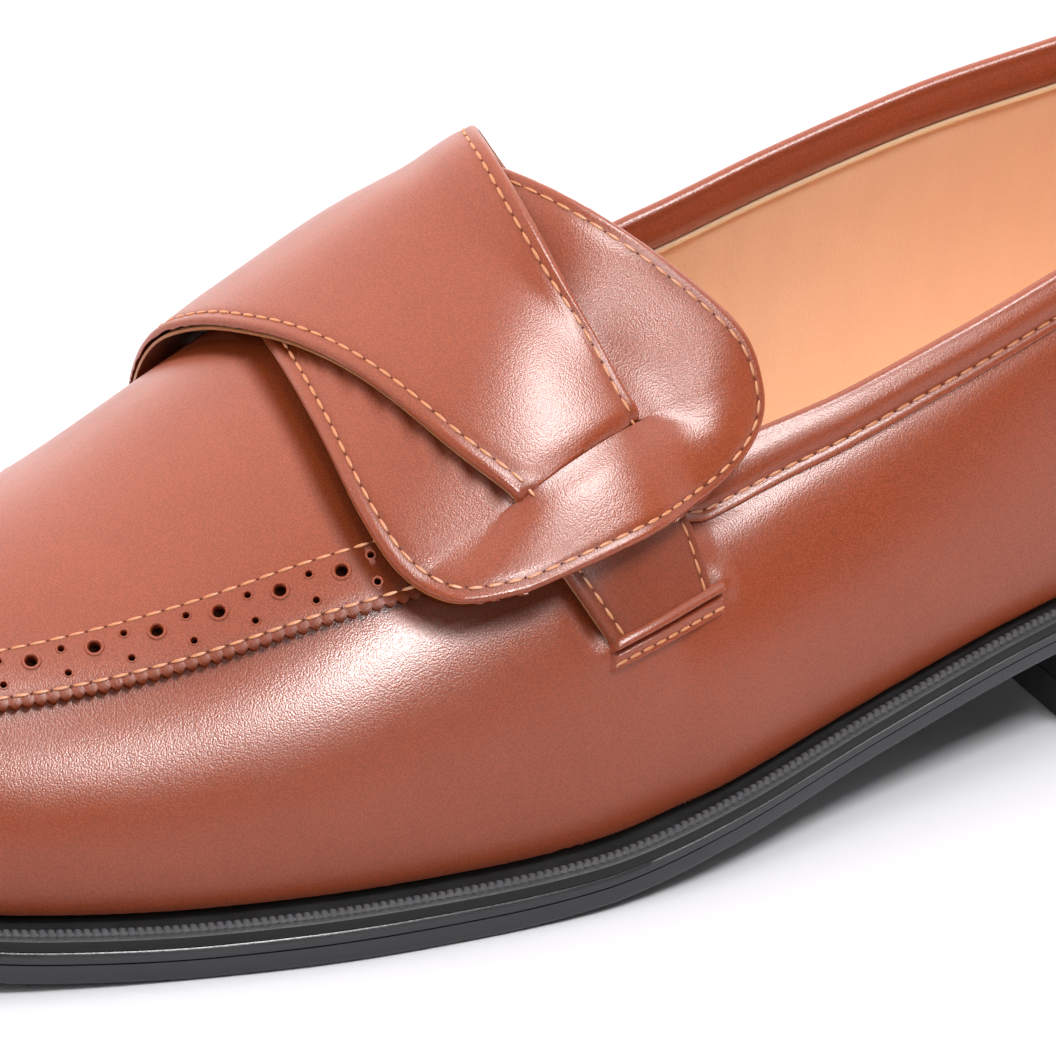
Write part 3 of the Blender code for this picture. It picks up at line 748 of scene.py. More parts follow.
class Bench:
    """Work on one mesh at a time with Blender's own operators."""

    WELD = 2e-6
    BEVEL_SEGMENTS = 3
    BEVEL_ANGLE = math.radians(55)
    SMOOTH_ANGLE = math.radians(42)

    @staticmethod
    def clear() -> None:
        """Leaves edit mode and deselects everything."""
        if bpy.context.object and bpy.context.object.mode != "OBJECT":
            bpy.ops.object.mode_set(mode="OBJECT")
        bpy.ops.object.select_all(action="DESELECT")

    @staticmethod
    def pick(piece: bpy.types.Object) -> None:
        """Makes a piece the only selected and the active one.

        Args:
            piece: the piece.
        """
        Bench.clear()
        piece.select_set(True)
        bpy.context.view_layer.objects.active = piece

    @staticmethod
    def grid(name: str, points: np.ndarray, tone: np.ndarray | None = None) -> bpy.types.Object:
        """Lays a plane grid over the given points.

        Args:
            name: name of the piece.
            points: last coordinates of shape (rows, columns, 3).
            tone: wear and painted shade from 0 to 1 at each point, or None.

        Returns:
            The piece, still an open sheet.
        """
        Bench.clear()
        rows, columns = points.shape[:2]
        bpy.ops.mesh.primitive_grid_add(x_subdivisions=columns - 1, y_subdivisions=rows - 1, size=1.0)
        piece = bpy.context.object
        piece.name = name
        piece.data.vertices.foreach_set("co", LAST.placed(points).reshape(-1))
        wear_and_shade_share = piece.data.attributes.new("tone", "FLOAT", "POINT")
        wear_and_shade_share.data.foreach_set("value", np.zeros(rows * columns) if tone is None else tone.reshape(-1))
        return piece

    @staticmethod
    def join(name: str, parts: Sequence[bpy.types.Object]) -> bpy.types.Object:
        """Joins pieces into one, welds their shared points and turns the faces one way.

        Args:
            name: name of the joined piece.
            parts: the pieces.

        Returns:
            The joined piece.
        """
        Bench.pick(parts[0])
        for part in parts:
            part.select_set(True)
        if len(parts) > 1:
            bpy.ops.object.join()
        piece = bpy.context.object
        piece.name = name
        piece.data.name = name
        bpy.ops.object.mode_set(mode="EDIT")
        bpy.ops.mesh.select_all(action="SELECT")
        bpy.ops.mesh.remove_doubles(threshold=Bench.WELD)
        bpy.ops.mesh.normals_make_consistent(inside=False)
        bpy.ops.object.mode_set(mode="OBJECT")
        return piece

    @staticmethod
    def cap(piece: bpy.types.Object) -> None:
        """Closes the open loops of a piece with faces.

        Args:
            piece: the piece.
        """
        Bench.pick(piece)
        bpy.ops.object.mode_set(mode="EDIT")
        bpy.ops.mesh.select_mode(type="EDGE")
        bpy.ops.mesh.select_all(action="DESELECT")
        bpy.ops.mesh.select_non_manifold()
        bpy.ops.mesh.edge_face_add()
        bpy.ops.mesh.select_all(action="SELECT")
        bpy.ops.mesh.normals_make_consistent(inside=False)
        bpy.ops.object.mode_set(mode="OBJECT")

    @staticmethod
    def apply(piece: bpy.types.Object, kind: str, **settings: Any) -> None:
        """Adds a modifier with its settings and applies it.

        Args:
            piece: the piece.
            kind: the modifier's type.
            **settings: its settings.
        """
        Bench.pick(piece)
        modifier = piece.modifiers.new(kind.lower(), kind)
        for name, value in settings.items():
            setattr(modifier, name, value)
        bpy.ops.object.modifier_apply(modifier=modifier.name)

    @staticmethod
    def thicken(piece: bpy.types.Object, thickness: float, offset: float, rounding: float) -> None:
        """Gives a sheet its thickness in millimetres and rounds its edges.

        Args:
            piece: the sheet.
            thickness: thickness of its wall.
            offset: 1 to grow along the normals, -1 against them.
            rounding: width of the bevel.
        """
        Bench.apply(piece, "SOLIDIFY", thickness=thickness * MM, offset=offset)
        Bench.apply(
            piece, "BEVEL", width=rounding * MM, segments=Bench.BEVEL_SEGMENTS, limit_method="ANGLE",
            angle_limit=Bench.BEVEL_ANGLE, use_clamp_overlap=True,
        )

    @staticmethod
    def copies(name: str, master: bpy.types.Object, frames: np.ndarray) -> bpy.types.Object:
        """Joined copies of one small modelled thing, which is then removed.

        Args:
            name: name of the piece.
            master: the thing, in millimetres about the origin.
            frames: per copy its centre and three axes, of shape (count, 4, 3), in last coordinates.

        Returns:
            The piece that holds all copies.
        """
        count = len(master.data.vertices)
        shape = np.zeros(count * 3)
        master.data.vertices.foreach_get("co", shape)
        shape = shape.reshape(-1, 3)
        faces = [tuple(face.vertices) for face in master.data.polygons]
        points = frames[:, :1] + np.einsum("vk,nkc->nvc", shape, frames[:, 1:])
        mesh = bpy.data.meshes.new(name)
        every = [tuple(v + n * count for v in face) for n in range(len(frames)) for face in faces]
        mesh.from_pydata(LAST.placed(points).reshape(-1, 3).tolist(), [], every)
        piece = bpy.data.objects.new(name, mesh)
        bpy.context.scene.collection.objects.link(piece)
        bpy.data.objects.remove(master)
        Bench.pick(piece)
        bpy.ops.object.mode_set(mode="EDIT")
        bpy.ops.mesh.select_all(action="SELECT")
        bpy.ops.mesh.normals_make_consistent(inside=False)
        bpy.ops.object.mode_set(mode="OBJECT")
        return piece

    @staticmethod
    def dress(
        piece: bpy.types.Object, finish: Finish, slot: str, replaced: Sequence[str] = (),
    ) -> bpy.types.Object:
        """Smooths a piece, gives it its finish and rides it on the shoe.

        Args:
            piece: the finished piece.
            finish: its surface.
            slot: the record's material slot; not used.
            replaced: CAD nodes that it stands for.

        Returns:
            The piece.
        """
        Bench.pick(piece)
        bpy.ops.object.shade_smooth_by_angle(angle=Bench.SMOOTH_ANGLE)
        piece.data.materials.clear()
        piece.data.materials.append(finish.material())
        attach(piece, "root")
        if replaced:
            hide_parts(*replaced)
        LOG.info("%s: %d faces", piece.name, len(piece.data.polygons))
        return piece


@dataclass
class Sewing:
    """All visible stitches of the shoe, with the needle holes between them."""

    pitch: float = 3.0
    length: float = 2.45
    width: float = 0.56
    height: float = 0.5
    hole: float = 0.24
    hole_flatness: float = 0.3
    stitch_frames: list[np.ndarray] = field(default_factory=list)
    hole_frames: list[np.ndarray] = field(default_factory=list)

    def row(self, points: np.ndarray, normals: np.ndarray, pitch: float | None = None) -> None:
        """Sews a row of stitches along a line on the leather.

        Args:
            points: the line, in last coordinates.
            normals: the leather's outward normals along it.
            pitch: distance between stitches, or None for the usual one.
        """
        pitch = pitch or self.pitch
        at = evenly(points, pitch)
        centre = along(points, at)
        normal = unit(along(normals, at))
        run = unit(along(np.gradient(points, axis=0), at))
        run = unit(run - normal * np.sum(run * normal, -1, keepdims=True))
        across = np.cross(normal, run)
        share = pitch / self.pitch
        self.stitch_frames.append(np.stack([centre, run * share, across, normal], 1))
        gap = (centre[1:] + centre[:-1]) / 2
        self.hole_frames.append(np.stack([gap, run[1:], across[1:], normal[1:]], 1))

    def build(self) -> None:
        """Models one stitch and one needle hole and copies them along every row."""
        Bench.clear()
        bpy.ops.mesh.primitive_uv_sphere_add(segments=8, ring_count=6, radius=0.5)
        stitch = bpy.context.object
        bpy.ops.transform.rotate(value=math.pi / 2, orient_axis="Y", center_override=(0, 0, 0))
        bpy.ops.transform.resize(value=(self.length, self.width, self.height), center_override=(0, 0, 0))
        bpy.ops.object.transform_apply(location=True, rotation=True, scale=True)
        thread = Bench.copies("stitching", stitch, np.concatenate(self.stitch_frames))
        Bench.dress(thread, THREAD, "tan_leather")
        Bench.clear()
        bpy.ops.mesh.primitive_uv_sphere_add(segments=8, ring_count=4, radius=self.hole)
        pit = bpy.context.object
        bpy.ops.transform.resize(value=(1.0, 1.0, self.hole_flatness), center_override=(0, 0, 0))
        bpy.ops.object.transform_apply(location=True, rotation=True, scale=True)
        holes = Bench.copies("needle_holes", pit, np.concatenate(self.hole_frames))
        Bench.dress(holes, NEEDLE, "tan_leather")


@dataclass
class Upper:
    """Vamp and quarters: one hollow wall of calf with its collar binding, lining and piping."""

    wall: float = 1.5
    rounding: float = 0.4
    rim_trim: float = 0.7
    rim_end: float = 0.1
    rim_ramp: float = 0.4
    rim_base: float = 1.2
    rim_flatness: float = 0.85
    steps: int = 64
    fine_rows: tuple[float, float] = (6.6, 8.7)
    swell: float = 2.3
    swell_rise: float = 5.0
    swell_length: float = 25.0
    swell_end: float = 7.6
    swell_fade: float = 0.5
    pucker: float = 0.9
    pucker_radius: float = 2.6
    collar_end: float = 8.8
    binding_margin: float = 1.6
    binding_skin: float = 0.5
    binding_solid: float = 0.9
    binding_rounding: float = 0.12
    binding_start: float = 0.3
    puff: float = 0.8
    groove: float = 0.4
    groove_width: float = 0.55
    thread_lift: float = 0.1
    facing_drop: float = 8.4
    facing_puff: float = 1.2
    collar_steps: tuple[int, int, int] = (22, 11, 16)
    lining_skin: float = 0.5
    lining_gap: float = 0.1
    lining_rounding: float = 0.1
    lining_overlap: float = 0.6
    lining_rise: tuple[float, float] = (8.2, 0.8)
    lining_foot: float = 0.3
    row_length: float = 15.0
    fold_waves: tuple[float, float, float] = (0.9, 0.11, 0.37)
    fold_sway: float = 1.1
    fold_phase: float = 2.0
    fold_height: float = 0.16
    fold_ramp: float = 6.0
    fold_rows: float = 2.0
    piping_radius: float = 0.6
    piping_drop: float = 0.35
    piping_gap: float = 0.25

    def rows(self) -> np.ndarray:
        """Sections that the leather is laid over.

        Returns:
            The rows, closer together beside the tabs.
        """
        fine = self.fine_rows
        heel = np.linspace(0, fine[0], 80)
        return np.concatenate([heel, np.linspace(*fine, 80)[1:], np.linspace(fine[1], TOE, 116)[1:]])

    def build(self) -> None:
        """Makes the leather wall."""
        row = self.rows()
        sides = []
        for side in Side:
            trim = self.rim_trim * ease((THROAT - self.rim_end - row) / self.rim_ramp)
            share = np.linspace(0, 1, self.steps + 1)[None, :]
            girth = LAST.wall_length(side, row)[:, None] * (1 - share) + trim[:, None] * share
            spread = np.broadcast_to(row[:, None], girth.shape)
            points = LAST.on_wall(side, spread, girth, self.relief(side, spread, girth))
            # The tone here is painted shadow under the wings' edges.
            sides.append(Bench.grid(side.column, points, painted_strap_shadow(points)))
        wall = Bench.join("upper_calf", sides)
        Bench.thicken(wall, self.wall, -1, self.rounding)
        Bench.dress(wall, CALF, "tan_leather", ["upper"])

    def relief(self, side: Side, row: np.ndarray, girth: np.ndarray) -> np.ndarray:
        """Height of the leather's soft forms: a swell below the collar's seam and puckers beside the tabs.

        Args:
            side: side of the foot.
            row: section rows.
            girth: distances round the wall from the top.

        Returns:
            Heights off the wall.
        """
        below = np.maximum(girth - self.drop(row) - self.binding_margin, 0.0)
        swell = (1 - np.exp(-below / self.swell_rise)) * np.exp(-below / self.swell_length)
        lift = self.swell * swell * ease((self.swell_end - row) / self.swell_fade)
        base = LAST.on_wall(side, row, girth)
        for place in PUCKERS[side]:
            centre = LAST.on_form(np.array(place[0]), np.array(place[1]))
            gap = np.linalg.norm(base - centre, axis=-1)
            lift = lift + self.pucker * np.exp(-(gap / self.pucker_radius)**2)
        return lift

    def drop(self, row: np.ndarray) -> np.ndarray:
        """Girth of the topline's seam, which dives under the wings."""
        return monotone(COLLAR[:, 0], COLLAR[:, 1], row)

    def collar_section(self, side: Side, row: np.ndarray) -> np.ndarray:
        """Outer face of the binding, from the outside of the wall over the rim to the facing inside.

        Args:
            side: side of the foot.
            row: section rows.

        Returns:
            Points of shape (rows, steps, 3).
        """
        middle = -self.wall / 2
        radius = self.wall / 2 + self.binding_skin
        base = self.rim_base
        start = base + self.binding_start
        near = LAST.on_wall(side, row, np.full(row.shape, base))
        normal = LAST.wall_normal(side, row, np.full(row.shape, base))
        below = LAST.on_wall(side, row, np.full(row.shape, 2 * base))
        up = unit(LAST.on_wall(side, row, np.zeros(row.shape)) - below)
        lines = []
        drop = self.drop(row)
        outside, over, inside = self.collar_steps
        for share in np.linspace(1, 0, outside):
            girth = start + (drop + self.binding_margin - start) * share
            puff = self.puff * np.sin(math.pi * np.clip((girth - base) / (drop - base), 0, 1))
            groove = self.groove * np.exp(-((girth - drop) / self.groove_width)**2)
            lines.append(LAST.on_wall(side, row, girth, self.binding_skin + puff - groove))
        for turn in np.linspace(0, math.pi, over):
            lift = middle + radius * math.cos(turn)
            climb = radius * self.rim_flatness * math.sin(turn)
            lines.append(near + normal * lift + up * climb)
        for girth in np.linspace(start, self.facing_drop, inside):
            puff = self.facing_puff * math.sin(math.pi * (girth - start) / (self.facing_drop - start))
            depth = -self.wall - self.binding_skin - puff
            lines.append(LAST.on_wall(side, row, np.full(row.shape, girth), depth))
        return np.stack(lines, 1)

    def build_collar(self, sewing: Sewing) -> None:
        """Makes the binding round the topline, with its seam.

        Args:
            sewing: takes the rows of stitches.
        """
        row = np.linspace(0, self.collar_end, 200)
        sides = [Bench.grid(side.column, self.collar_section(side, row)) for side in Side]
        binding = Bench.join("collar_binding", sides)
        Bench.thicken(binding, self.binding_skin * self.binding_solid, -1, self.binding_rounding)
        Bench.dress(binding, CALF, "tan_leather")
        for side in Side:
            seam = self.drop(row)
            bed = self.binding_skin - self.groove + self.thread_lift
            sewing.row(LAST.on_wall(side, row, seam, bed), LAST.wall_normal(side, row, seam))

    def lining_top(self, row: np.ndarray) -> np.ndarray:
        """Girth of the lining's upper edge: under the facing at the collar, at the crest inside the vamp."""
        start, run = self.lining_rise
        return (self.facing_drop - self.lining_overlap) * (1 - ease((row - start) / run))

    def build_lining(self) -> None:
        """Makes the lining inside the wall, and its piping."""
        row = np.concatenate([np.linspace(0, THROAT, 120), np.linspace(THROAT, TOE, 60)[1:]])
        share = np.linspace(0, 1, 44)[None, :]
        sides = []
        for side in Side:
            top = self.lining_top(row)[:, None]
            girth = top + (LAST.wall_length(side, row)[:, None] - top - self.lining_foot) * share
            spread = np.broadcast_to(row[:, None], girth.shape)
            run = spread * self.row_length
            along_shoe, across_shoe, slow = self.fold_waves
            sway = self.fold_sway * np.sin(girth * across_shoe)
            folds = np.sin(run * along_shoe + sway + side.value) * np.sin(run * slow + self.fold_phase)
            fade = ease((girth - top) / self.fold_ramp) * ease((THROAT - spread) / self.fold_rows)
            lift = -self.wall - self.lining_gap + self.fold_height * (folds - 1) * fade
            sides.append(Bench.grid(side.column, LAST.on_wall(side, spread, girth, lift)))
        lining = Bench.join("lining", sides)
        Bench.thicken(lining, self.lining_skin, -1, self.lining_rounding)
        Bench.dress(lining, LINING, "lining_leather")
        self.build_piping()

    def build_piping(self) -> None:
        """Makes the piping along the facing's lower edge."""
        turn = np.linspace(0, 2 * math.pi, 9)
        row = np.linspace(0, self.collar_end, 160)
        shape = (len(row), len(turn))
        girth = self.facing_drop + self.piping_drop + self.piping_radius * np.sin(turn)
        lift = -self.wall - self.lining_skin - self.piping_gap + self.piping_radius * np.cos(turn)
        grid = [np.broadcast_to(values, shape) for values in (row[:, None], girth, lift)]
        tubes = [Bench.grid(side.column, LAST.on_wall(side, *grid)) for side in Side]
        piping = Bench.join("piping", tubes)
        Bench.cap(piping)
        Bench.dress(piping, PIPING, "lining_leather")


@dataclass
class Apron:
    """The plug over the vamp, with a pinked edge, a row of punched holes and two seams."""

    thickness: float = 1.2
    clearance: float = 0.3
    tooth_pitch: float = 1.95
    tooth_depth: float = 0.8
    tooth_steps: int = 6
    tooth_power: float = 1.3
    tooth_reach: float = 1.6
    margins: tuple[float, ...] = (0.0, 0.35, 0.7, 1.1, 1.6, 2.2, 3.0, 4.0, 5.2, 6.6, 8.2, 10.0)
    inner_steps: int = 20
    rounding: float = 0.12
    edge_tuck: float = 0.15
    edge_fade: float = 1.5
    edge_burnish: float = 0.95
    burnish_full: float = 1.3
    burnish_run: float = 1.2
    edge_seam: float = 1.9
    seam_trough: float = 0.15
    seam_width: float = 0.5
    # How much darker the apron is coloured in the seam's trough.
    seam_darkening: float = 0.25
    band: float = 10.2
    band_close: float = 2.6
    band_rows: tuple[float, float] = (12.0, 4.0)
    hole_pitch: float = 9.7
    hole_anchor: float = 11.07
    big_hole: float = 0.95
    small_hole: float = 0.52
    rim: float = 0.34
    rim_height: float = 0.9
    hole_shares: tuple[float, float, float] = (0.72, 0.82, 0.41)
    punch_depth: float = 4.0
    # Strip of painted shade under the holes: its margin, lift, thickness and rounding.
    hole_shade_margin: float = 1.0
    hole_shade_lift: float = 0.06
    hole_shade_thickness: float = 0.2
    backing_rounding: float = 0.05

    def edge(self, side: Side, row: np.ndarray) -> np.ndarray:
        """Girth of the pinked edge."""
        return monotone(APRON[:, 0], APRON[:, APRON_COLUMNS.index(side.column)], row)

    def band_width(self, row: np.ndarray) -> np.ndarray:
        """Distance from the pinked edge to the upper seam, which closes up a little round the toe."""
        start, run = self.band_rows
        return self.band - self.band_close * ease((row - start) / run)

    def edge_rows(self, step: float) -> np.ndarray:
        """Section rows, the same for both sides, at an even distance along the outer pinked edge.

        Args:
            step: wanted distance.

        Returns:
            The rows.
        """
        fine = np.linspace(APRON[0, 0], TOE, 900)
        line = LAST.on_wall(Side.LATERAL, fine, self.edge(Side.LATERAL, fine))
        run = np.concatenate(([0.0], np.cumsum(np.linalg.norm(np.diff(line, axis=0), axis=1))))
        count = int(round(run[-1] / step))
        return np.interp(np.linspace(0, run[-1], count + 1), run, fine)

    def line(self, side: Side, row: np.ndarray, inset: np.ndarray | float) -> tuple[np.ndarray, np.ndarray]:
        """Points and normals on the apron's face along a line inside its edge.

        Args:
            side: side of the foot.
            row: section rows.
            inset: distance inside the edge.

        Returns:
            The points and the normals.
        """
        girth = self.edge(side, row) - inset
        lift = self.clearance + self.thickness
        return LAST.on_wall(side, row, girth, lift), LAST.wall_normal(side, row, girth)

    def build(self, sewing: Sewing) -> None:
        """Makes the apron, its holes and its seams.

        Args:
            sewing: takes the rows of stitches.
        """
        sides = []
        margin = np.array(self.margins)
        for side in Side:
            row = self.edge_rows(self.tooth_pitch / self.tooth_steps)
            swing = np.abs(((np.arange(len(row)) / self.tooth_steps) % 1) * 2 - 1)
            tooth = (swing**self.tooth_power)[:, None]
            edge = self.edge(side, row)[:, None]
            cut = self.tooth_depth * tooth * np.clip(1 - margin / self.tooth_reach, 0, 1)[None, :]
            outer = edge - margin[None, :] - cut
            inner = (edge - margin[-1]) * np.linspace(1, 0, self.inner_steps)[None, 1:]
            girth = np.concatenate([outer, inner], 1)
            fade = ease((girth[:, :1] - girth) / self.edge_fade)
            inset = edge - girth
            dip = np.exp(-((inset - self.edge_seam) / self.seam_width)**2)
            lift = self.clearance - self.edge_tuck * (1 - fade) - self.seam_trough * dip
            burnish = self.edge_burnish * np.clip(self.burnish_full - inset / self.burnish_run, 0, 1)
            tone = burnish + self.seam_darkening * dip
            points = LAST.on_wall(side, np.broadcast_to(row[:, None], girth.shape), girth, lift)
            # The tone adds painted shadow under the wings' edges to the darker cut edge and the seam's
            # trough.
            sides.append(Bench.grid(side.column, points, np.maximum(tone, painted_strap_shadow(points))))
        apron = Bench.join("apron_calf", sides)
        Bench.thicken(apron, self.thickness, 1, self.rounding)
        frames = self.hole_frames()
        Bench.clear()
        bpy.ops.mesh.primitive_cylinder_add(vertices=20, radius=1.0, depth=self.punch_depth)
        cutter = Bench.copies("punches", bpy.context.object, frames)
        Bench.apply(apron, "BOOLEAN", operation="DIFFERENCE", object=cutter, solver="EXACT")
        bpy.data.objects.remove(cutter)
        self.build_rims(frames)
        Bench.dress(apron, CALF, "tan_leather", ["apron"])
        for side in Side:
            row = self.edge_rows(1.0)
            sewing.row(*self.line(side, row, self.edge_seam))
            sewing.row(*self.line(side, row, self.band_width(row)))
        self.build_hole_shade()

    def build_hole_shade(self) -> None:
        """Makes the dark strip of painted shade that shows at the bottom of the holes."""
        sides = []
        for side in Side:
            row = self.edge_rows(2.0)
            width = self.band_width(row)[:, None] - 2 * self.hole_shade_margin
            girth = self.edge(side, row)[:, None] - self.hole_shade_margin - width * np.linspace(1, 0, 6)
            spread = np.broadcast_to(row[:, None], girth.shape)
            sides.append(Bench.grid(side.column, LAST.on_wall(side, spread, girth, self.hole_shade_lift)))
        backing = Bench.join("apron_backing", sides)
        Bench.thicken(backing, self.hole_shade_thickness, 1, self.backing_rounding)
        Bench.dress(backing, HOLE_SHADE, "tan_leather")

    def build_rims(self, frames: np.ndarray) -> None:
        """Makes the soft rims that the punch raises round the holes.

        Args:
            frames: centres and axes of the holes.
        """
        Bench.clear()
        bpy.ops.mesh.primitive_torus_add(
            major_segments=20, minor_segments=6, major_radius=1.0 + self.rim, minor_radius=self.rim,
        )
        flat = frames.copy()
        flat[:, 3] *= np.linalg.norm(frames[:, 1], axis=1)[:, None] * self.rim_height
        rims = Bench.copies("hole_rims", bpy.context.object, flat)
        Bench.dress(rims, CALF, "tan_leather")

    def hole_frames(self) -> np.ndarray:
        """Centres and axes of the punched holes: large ones, with a pair of small ones between them.

        Returns:
            Frames of shape (holes, 4, 3).
        """
        frames = []
        middle, upper, lower = self.hole_shares
        for side in Side:
            row = self.edge_rows(0.5)
            line, _ = self.line(side, row, self.band_width(row) * middle)
            run = np.concatenate(([0.0], np.cumsum(np.linalg.norm(np.diff(line, axis=0), axis=1))))
            anchor = np.interp(self.hole_anchor, row, run)
            at = np.arange(anchor % self.hole_pitch, run[-1] - self.hole_pitch / 4, self.hole_pitch)
            between = (at[1:] + at[:-1]) / 2
            for places, share, radius in (
                (at, middle, self.big_hole),
                (between, upper, self.small_hole),
                (between, lower, self.small_hole),
            ):
                hole_row = np.interp(places, run, row)
                centre, normal = self.line(side, hole_row, self.band_width(hole_row) * share)
                first = unit(np.cross(normal, (0.0, 0.0, 1.0)))
                second = np.cross(normal, first)
                frames.append(np.stack([centre, first * radius, second * radius, normal], 1))
        return np.concatenate(frames)


@dataclass
class Wing:
    """A strap of two layers of calf that crosses the instep and ends in a sewn tab."""

    name: str
    node: str
    ribs: np.ndarray
    height: Callable[[np.ndarray, np.ndarray], np.ndarray]
    face: float = 1.45
    face_rounding: float = 0.05
    backing: float = 0.55
    backing_gap: float = 0.08
    backing_rounding: float = 0.15
    seam: float = 1.8
    # How much darker the face is coloured in the seam's trough.
    seam_darkening: float = 1.4
    seam_smoothing: int = 12
    trough: float = 0.2
    trough_width: float = 0.6
    thread_sink: float = 0.7
    edge_width: float = 0.8
    edge_fall: float = 1.2
    edge_steps: int = 240
    end_steps: int = 40
    edge_samples: int = 4000
    skin: float = 0.25
    bow: float = 0.0
    bow_ribs: float = 2.5
    # Painted shade on each wing's tab, where it goes under the other wing's lobe: its girth, ramp and
    # strength.
    tab_girth: float = 58.0
    tab_ramp: float = 6.0
    painted_tab_shade: float = 0.35
    width: float = 58.0
    margins: tuple[float, ...] = (0.0, 0.08, 0.2, 0.38, 0.6, 0.85, 1.1, 1.4, 1.8, 2.2, 2.7, 3.4, 4.5)
    middle_margin: float = 6.2
    middle_steps: int = 27
    lengthwise: int = 170
    crowding: tuple[float, float] = (0.35, 1.35)

    def __post_init__(self) -> None:
        """Works out the fractions across the strap, close together near both edges."""
        margin = np.array(self.margins) / self.width
        first = self.middle_margin / self.width
        inner = np.linspace(first, 1 - first, self.middle_steps)
        self.across = np.concatenate([margin, inner, 1 - margin[::-1]])

    def flat(self, a: np.ndarray, t: np.ndarray) -> tuple[np.ndarray, np.ndarray]:
        """Station and girth at a rib number and a fraction from the front to the rear edge.

        Args:
            a: rib numbers.
            t: fractions.

        Returns:
            Stations and girths.
        """
        index = np.arange(len(self.ribs), dtype=float)
        front_s, front_g, rear_s, rear_g = (natural_spline(index, self.ribs[:, k], a) for k in range(4))
        bowed = self.bow * 4 * t * (1 - t) * np.clip(1 - a / self.bow_ribs, 0, 1)**2
        return front_s + (rear_s - front_s) * t, front_g + (rear_g - front_g) * t + bowed

    def outline(self) -> np.ndarray:
        """Edge line: from the tab along the front, round the lobe and back along the rear.

        Returns:
            Stations and girths of shape (points, 2).
        """
        a = np.linspace(0, len(self.ribs) - 1, self.edge_steps)
        front = np.stack(self.flat(a[::-1], np.zeros(a.shape)), -1)
        t = np.linspace(0, 1, self.end_steps)[1:-1]
        end = np.stack(self.flat(np.zeros(t.shape), t), -1)
        rear = np.stack(self.flat(a, np.ones(a.shape)), -1)
        return np.concatenate([front, end, rear])

    def inset_line(self, inset: float) -> np.ndarray:
        """The edge line moved inwards, in station and girth.

        Args:
            inset: distance inside the edge.

        Returns:
            Stations and girths of shape (points, 2).
        """
        line = self.outline()
        run = unit(np.gradient(line, axis=0))
        for _ in range(self.seam_smoothing):
            run[1:-1] = unit(run[:-2] + 2 * run[1:-1] + run[2:])
        normal = np.stack([-run[:, 1], run[:, 0]], -1)
        middle = line.mean(axis=0)
        if np.sum((middle - line) * normal) < 0:
            normal = -normal
        return line + normal * inset

    def seam_dip(self, s: np.ndarray, g: np.ndarray) -> np.ndarray:
        """Depth of the soft trough that the seam pulls into the face."""
        gap = gap_to(np.stack([s, g], -1), self.inset_line(self.seam))
        return self.trough * np.exp(-(gap / self.trough_width)**2)

    def edge_drop(self, s: np.ndarray, g: np.ndarray) -> np.ndarray:
        """Fall of the face over its rounded edge.

        Args:
            s: stations.
            g: girths from the crest.

        Returns:
            How far the face lies below its full height.
        """
        line = self.outline()
        edge = along(line, np.linspace(0, len(line) - 1, self.edge_samples))
        near = np.clip(1 - gap_to(np.stack([s, g], -1), edge) / self.edge_width, 0, 1)
        return self.edge_fall * (1 - np.sqrt(1 - near**2))

    def grids(self) -> list[tuple[np.ndarray, np.ndarray, np.ndarray]]:
        """Patches of station, girth and height of the underside.

        Returns:
            Stations, girths and heights of each patch.
        """
        u = np.linspace(0, 1, self.lengthwise)
        even, power = self.crowding
        a = ((even * u + (1 - even) * u**power) * (len(self.ribs) - 1))[:, None]
        s, g = self.flat(*np.broadcast_arrays(a, self.across[None, :]))
        return [(s, g, self.height(s, g))]

    def build(self, sewing: Sewing, slot: str) -> None:
        """Makes the two layers and sews them together round the edge.

        Args:
            sewing: takes the rows of stitches.
            slot: the record's material slot.
        """
        faces = []
        backs = []
        for k, (s, g, under) in enumerate(self.grids()):
            dip = self.seam_dip(s, g)
            top = under + self.backing + self.face - dip - self.edge_drop(s, g)
            # The tab is darkened with painted shade, as it lies under the other wing's lobe.
            tab = ease((np.sign(self.ribs[-1, 1]) * g - self.tab_girth) / self.tab_ramp)
            # The last term is painted shadow along the other strap's front edge.
            tone = self.seam_darkening * dip + self.painted_tab_shade * tab + self.crossing_shadow(s, g)
            faces.append(Bench.grid(f"face{k}", LAST.on_form(s, g, top), tone))
            backs.append(Bench.grid(f"back{k}", LAST.on_form(s, g, under)))
        face = Bench.join(self.name, faces)
        self.turn_up(face)
        Bench.thicken(face, self.skin, -1, self.face_rounding)
        Bench.dress(face, CALF, slot, [self.node])
        back = Bench.join(self.name + "_backing", backs)
        self.turn_up(back)
        Bench.thicken(back, self.backing - self.backing_gap, 1, self.backing_rounding)
        Bench.dress(back, EDGE, slot)
        self.sew(sewing, self.inset_line(self.seam))

    def crossing_shadow(self, s: np.ndarray, g: np.ndarray) -> np.ndarray:
        """Painted shadow on the face where another strap's edge crosses it."""
        return np.zeros(s.shape)

    @staticmethod
    def turn_up(piece: bpy.types.Object) -> None:
        """Turns an open sheet's faces away from the foot.

        Args:
            piece: the sheet.
        """
        normals = np.zeros(len(piece.data.polygons) * 3)
        piece.data.polygons.foreach_get("normal", normals)
        if normals.reshape(-1, 3)[:, 2].mean() < 0:
            Bench.pick(piece)
            bpy.ops.object.mode_set(mode="EDIT")
            bpy.ops.mesh.select_all(action="SELECT")
            bpy.ops.mesh.flip_normals()
            bpy.ops.object.mode_set(mode="OBJECT")

    def top_at(self, s: np.ndarray, g: np.ndarray) -> np.ndarray:
        """Height of the strap's face above the last."""
        return self.height(s, g) + self.backing + self.face

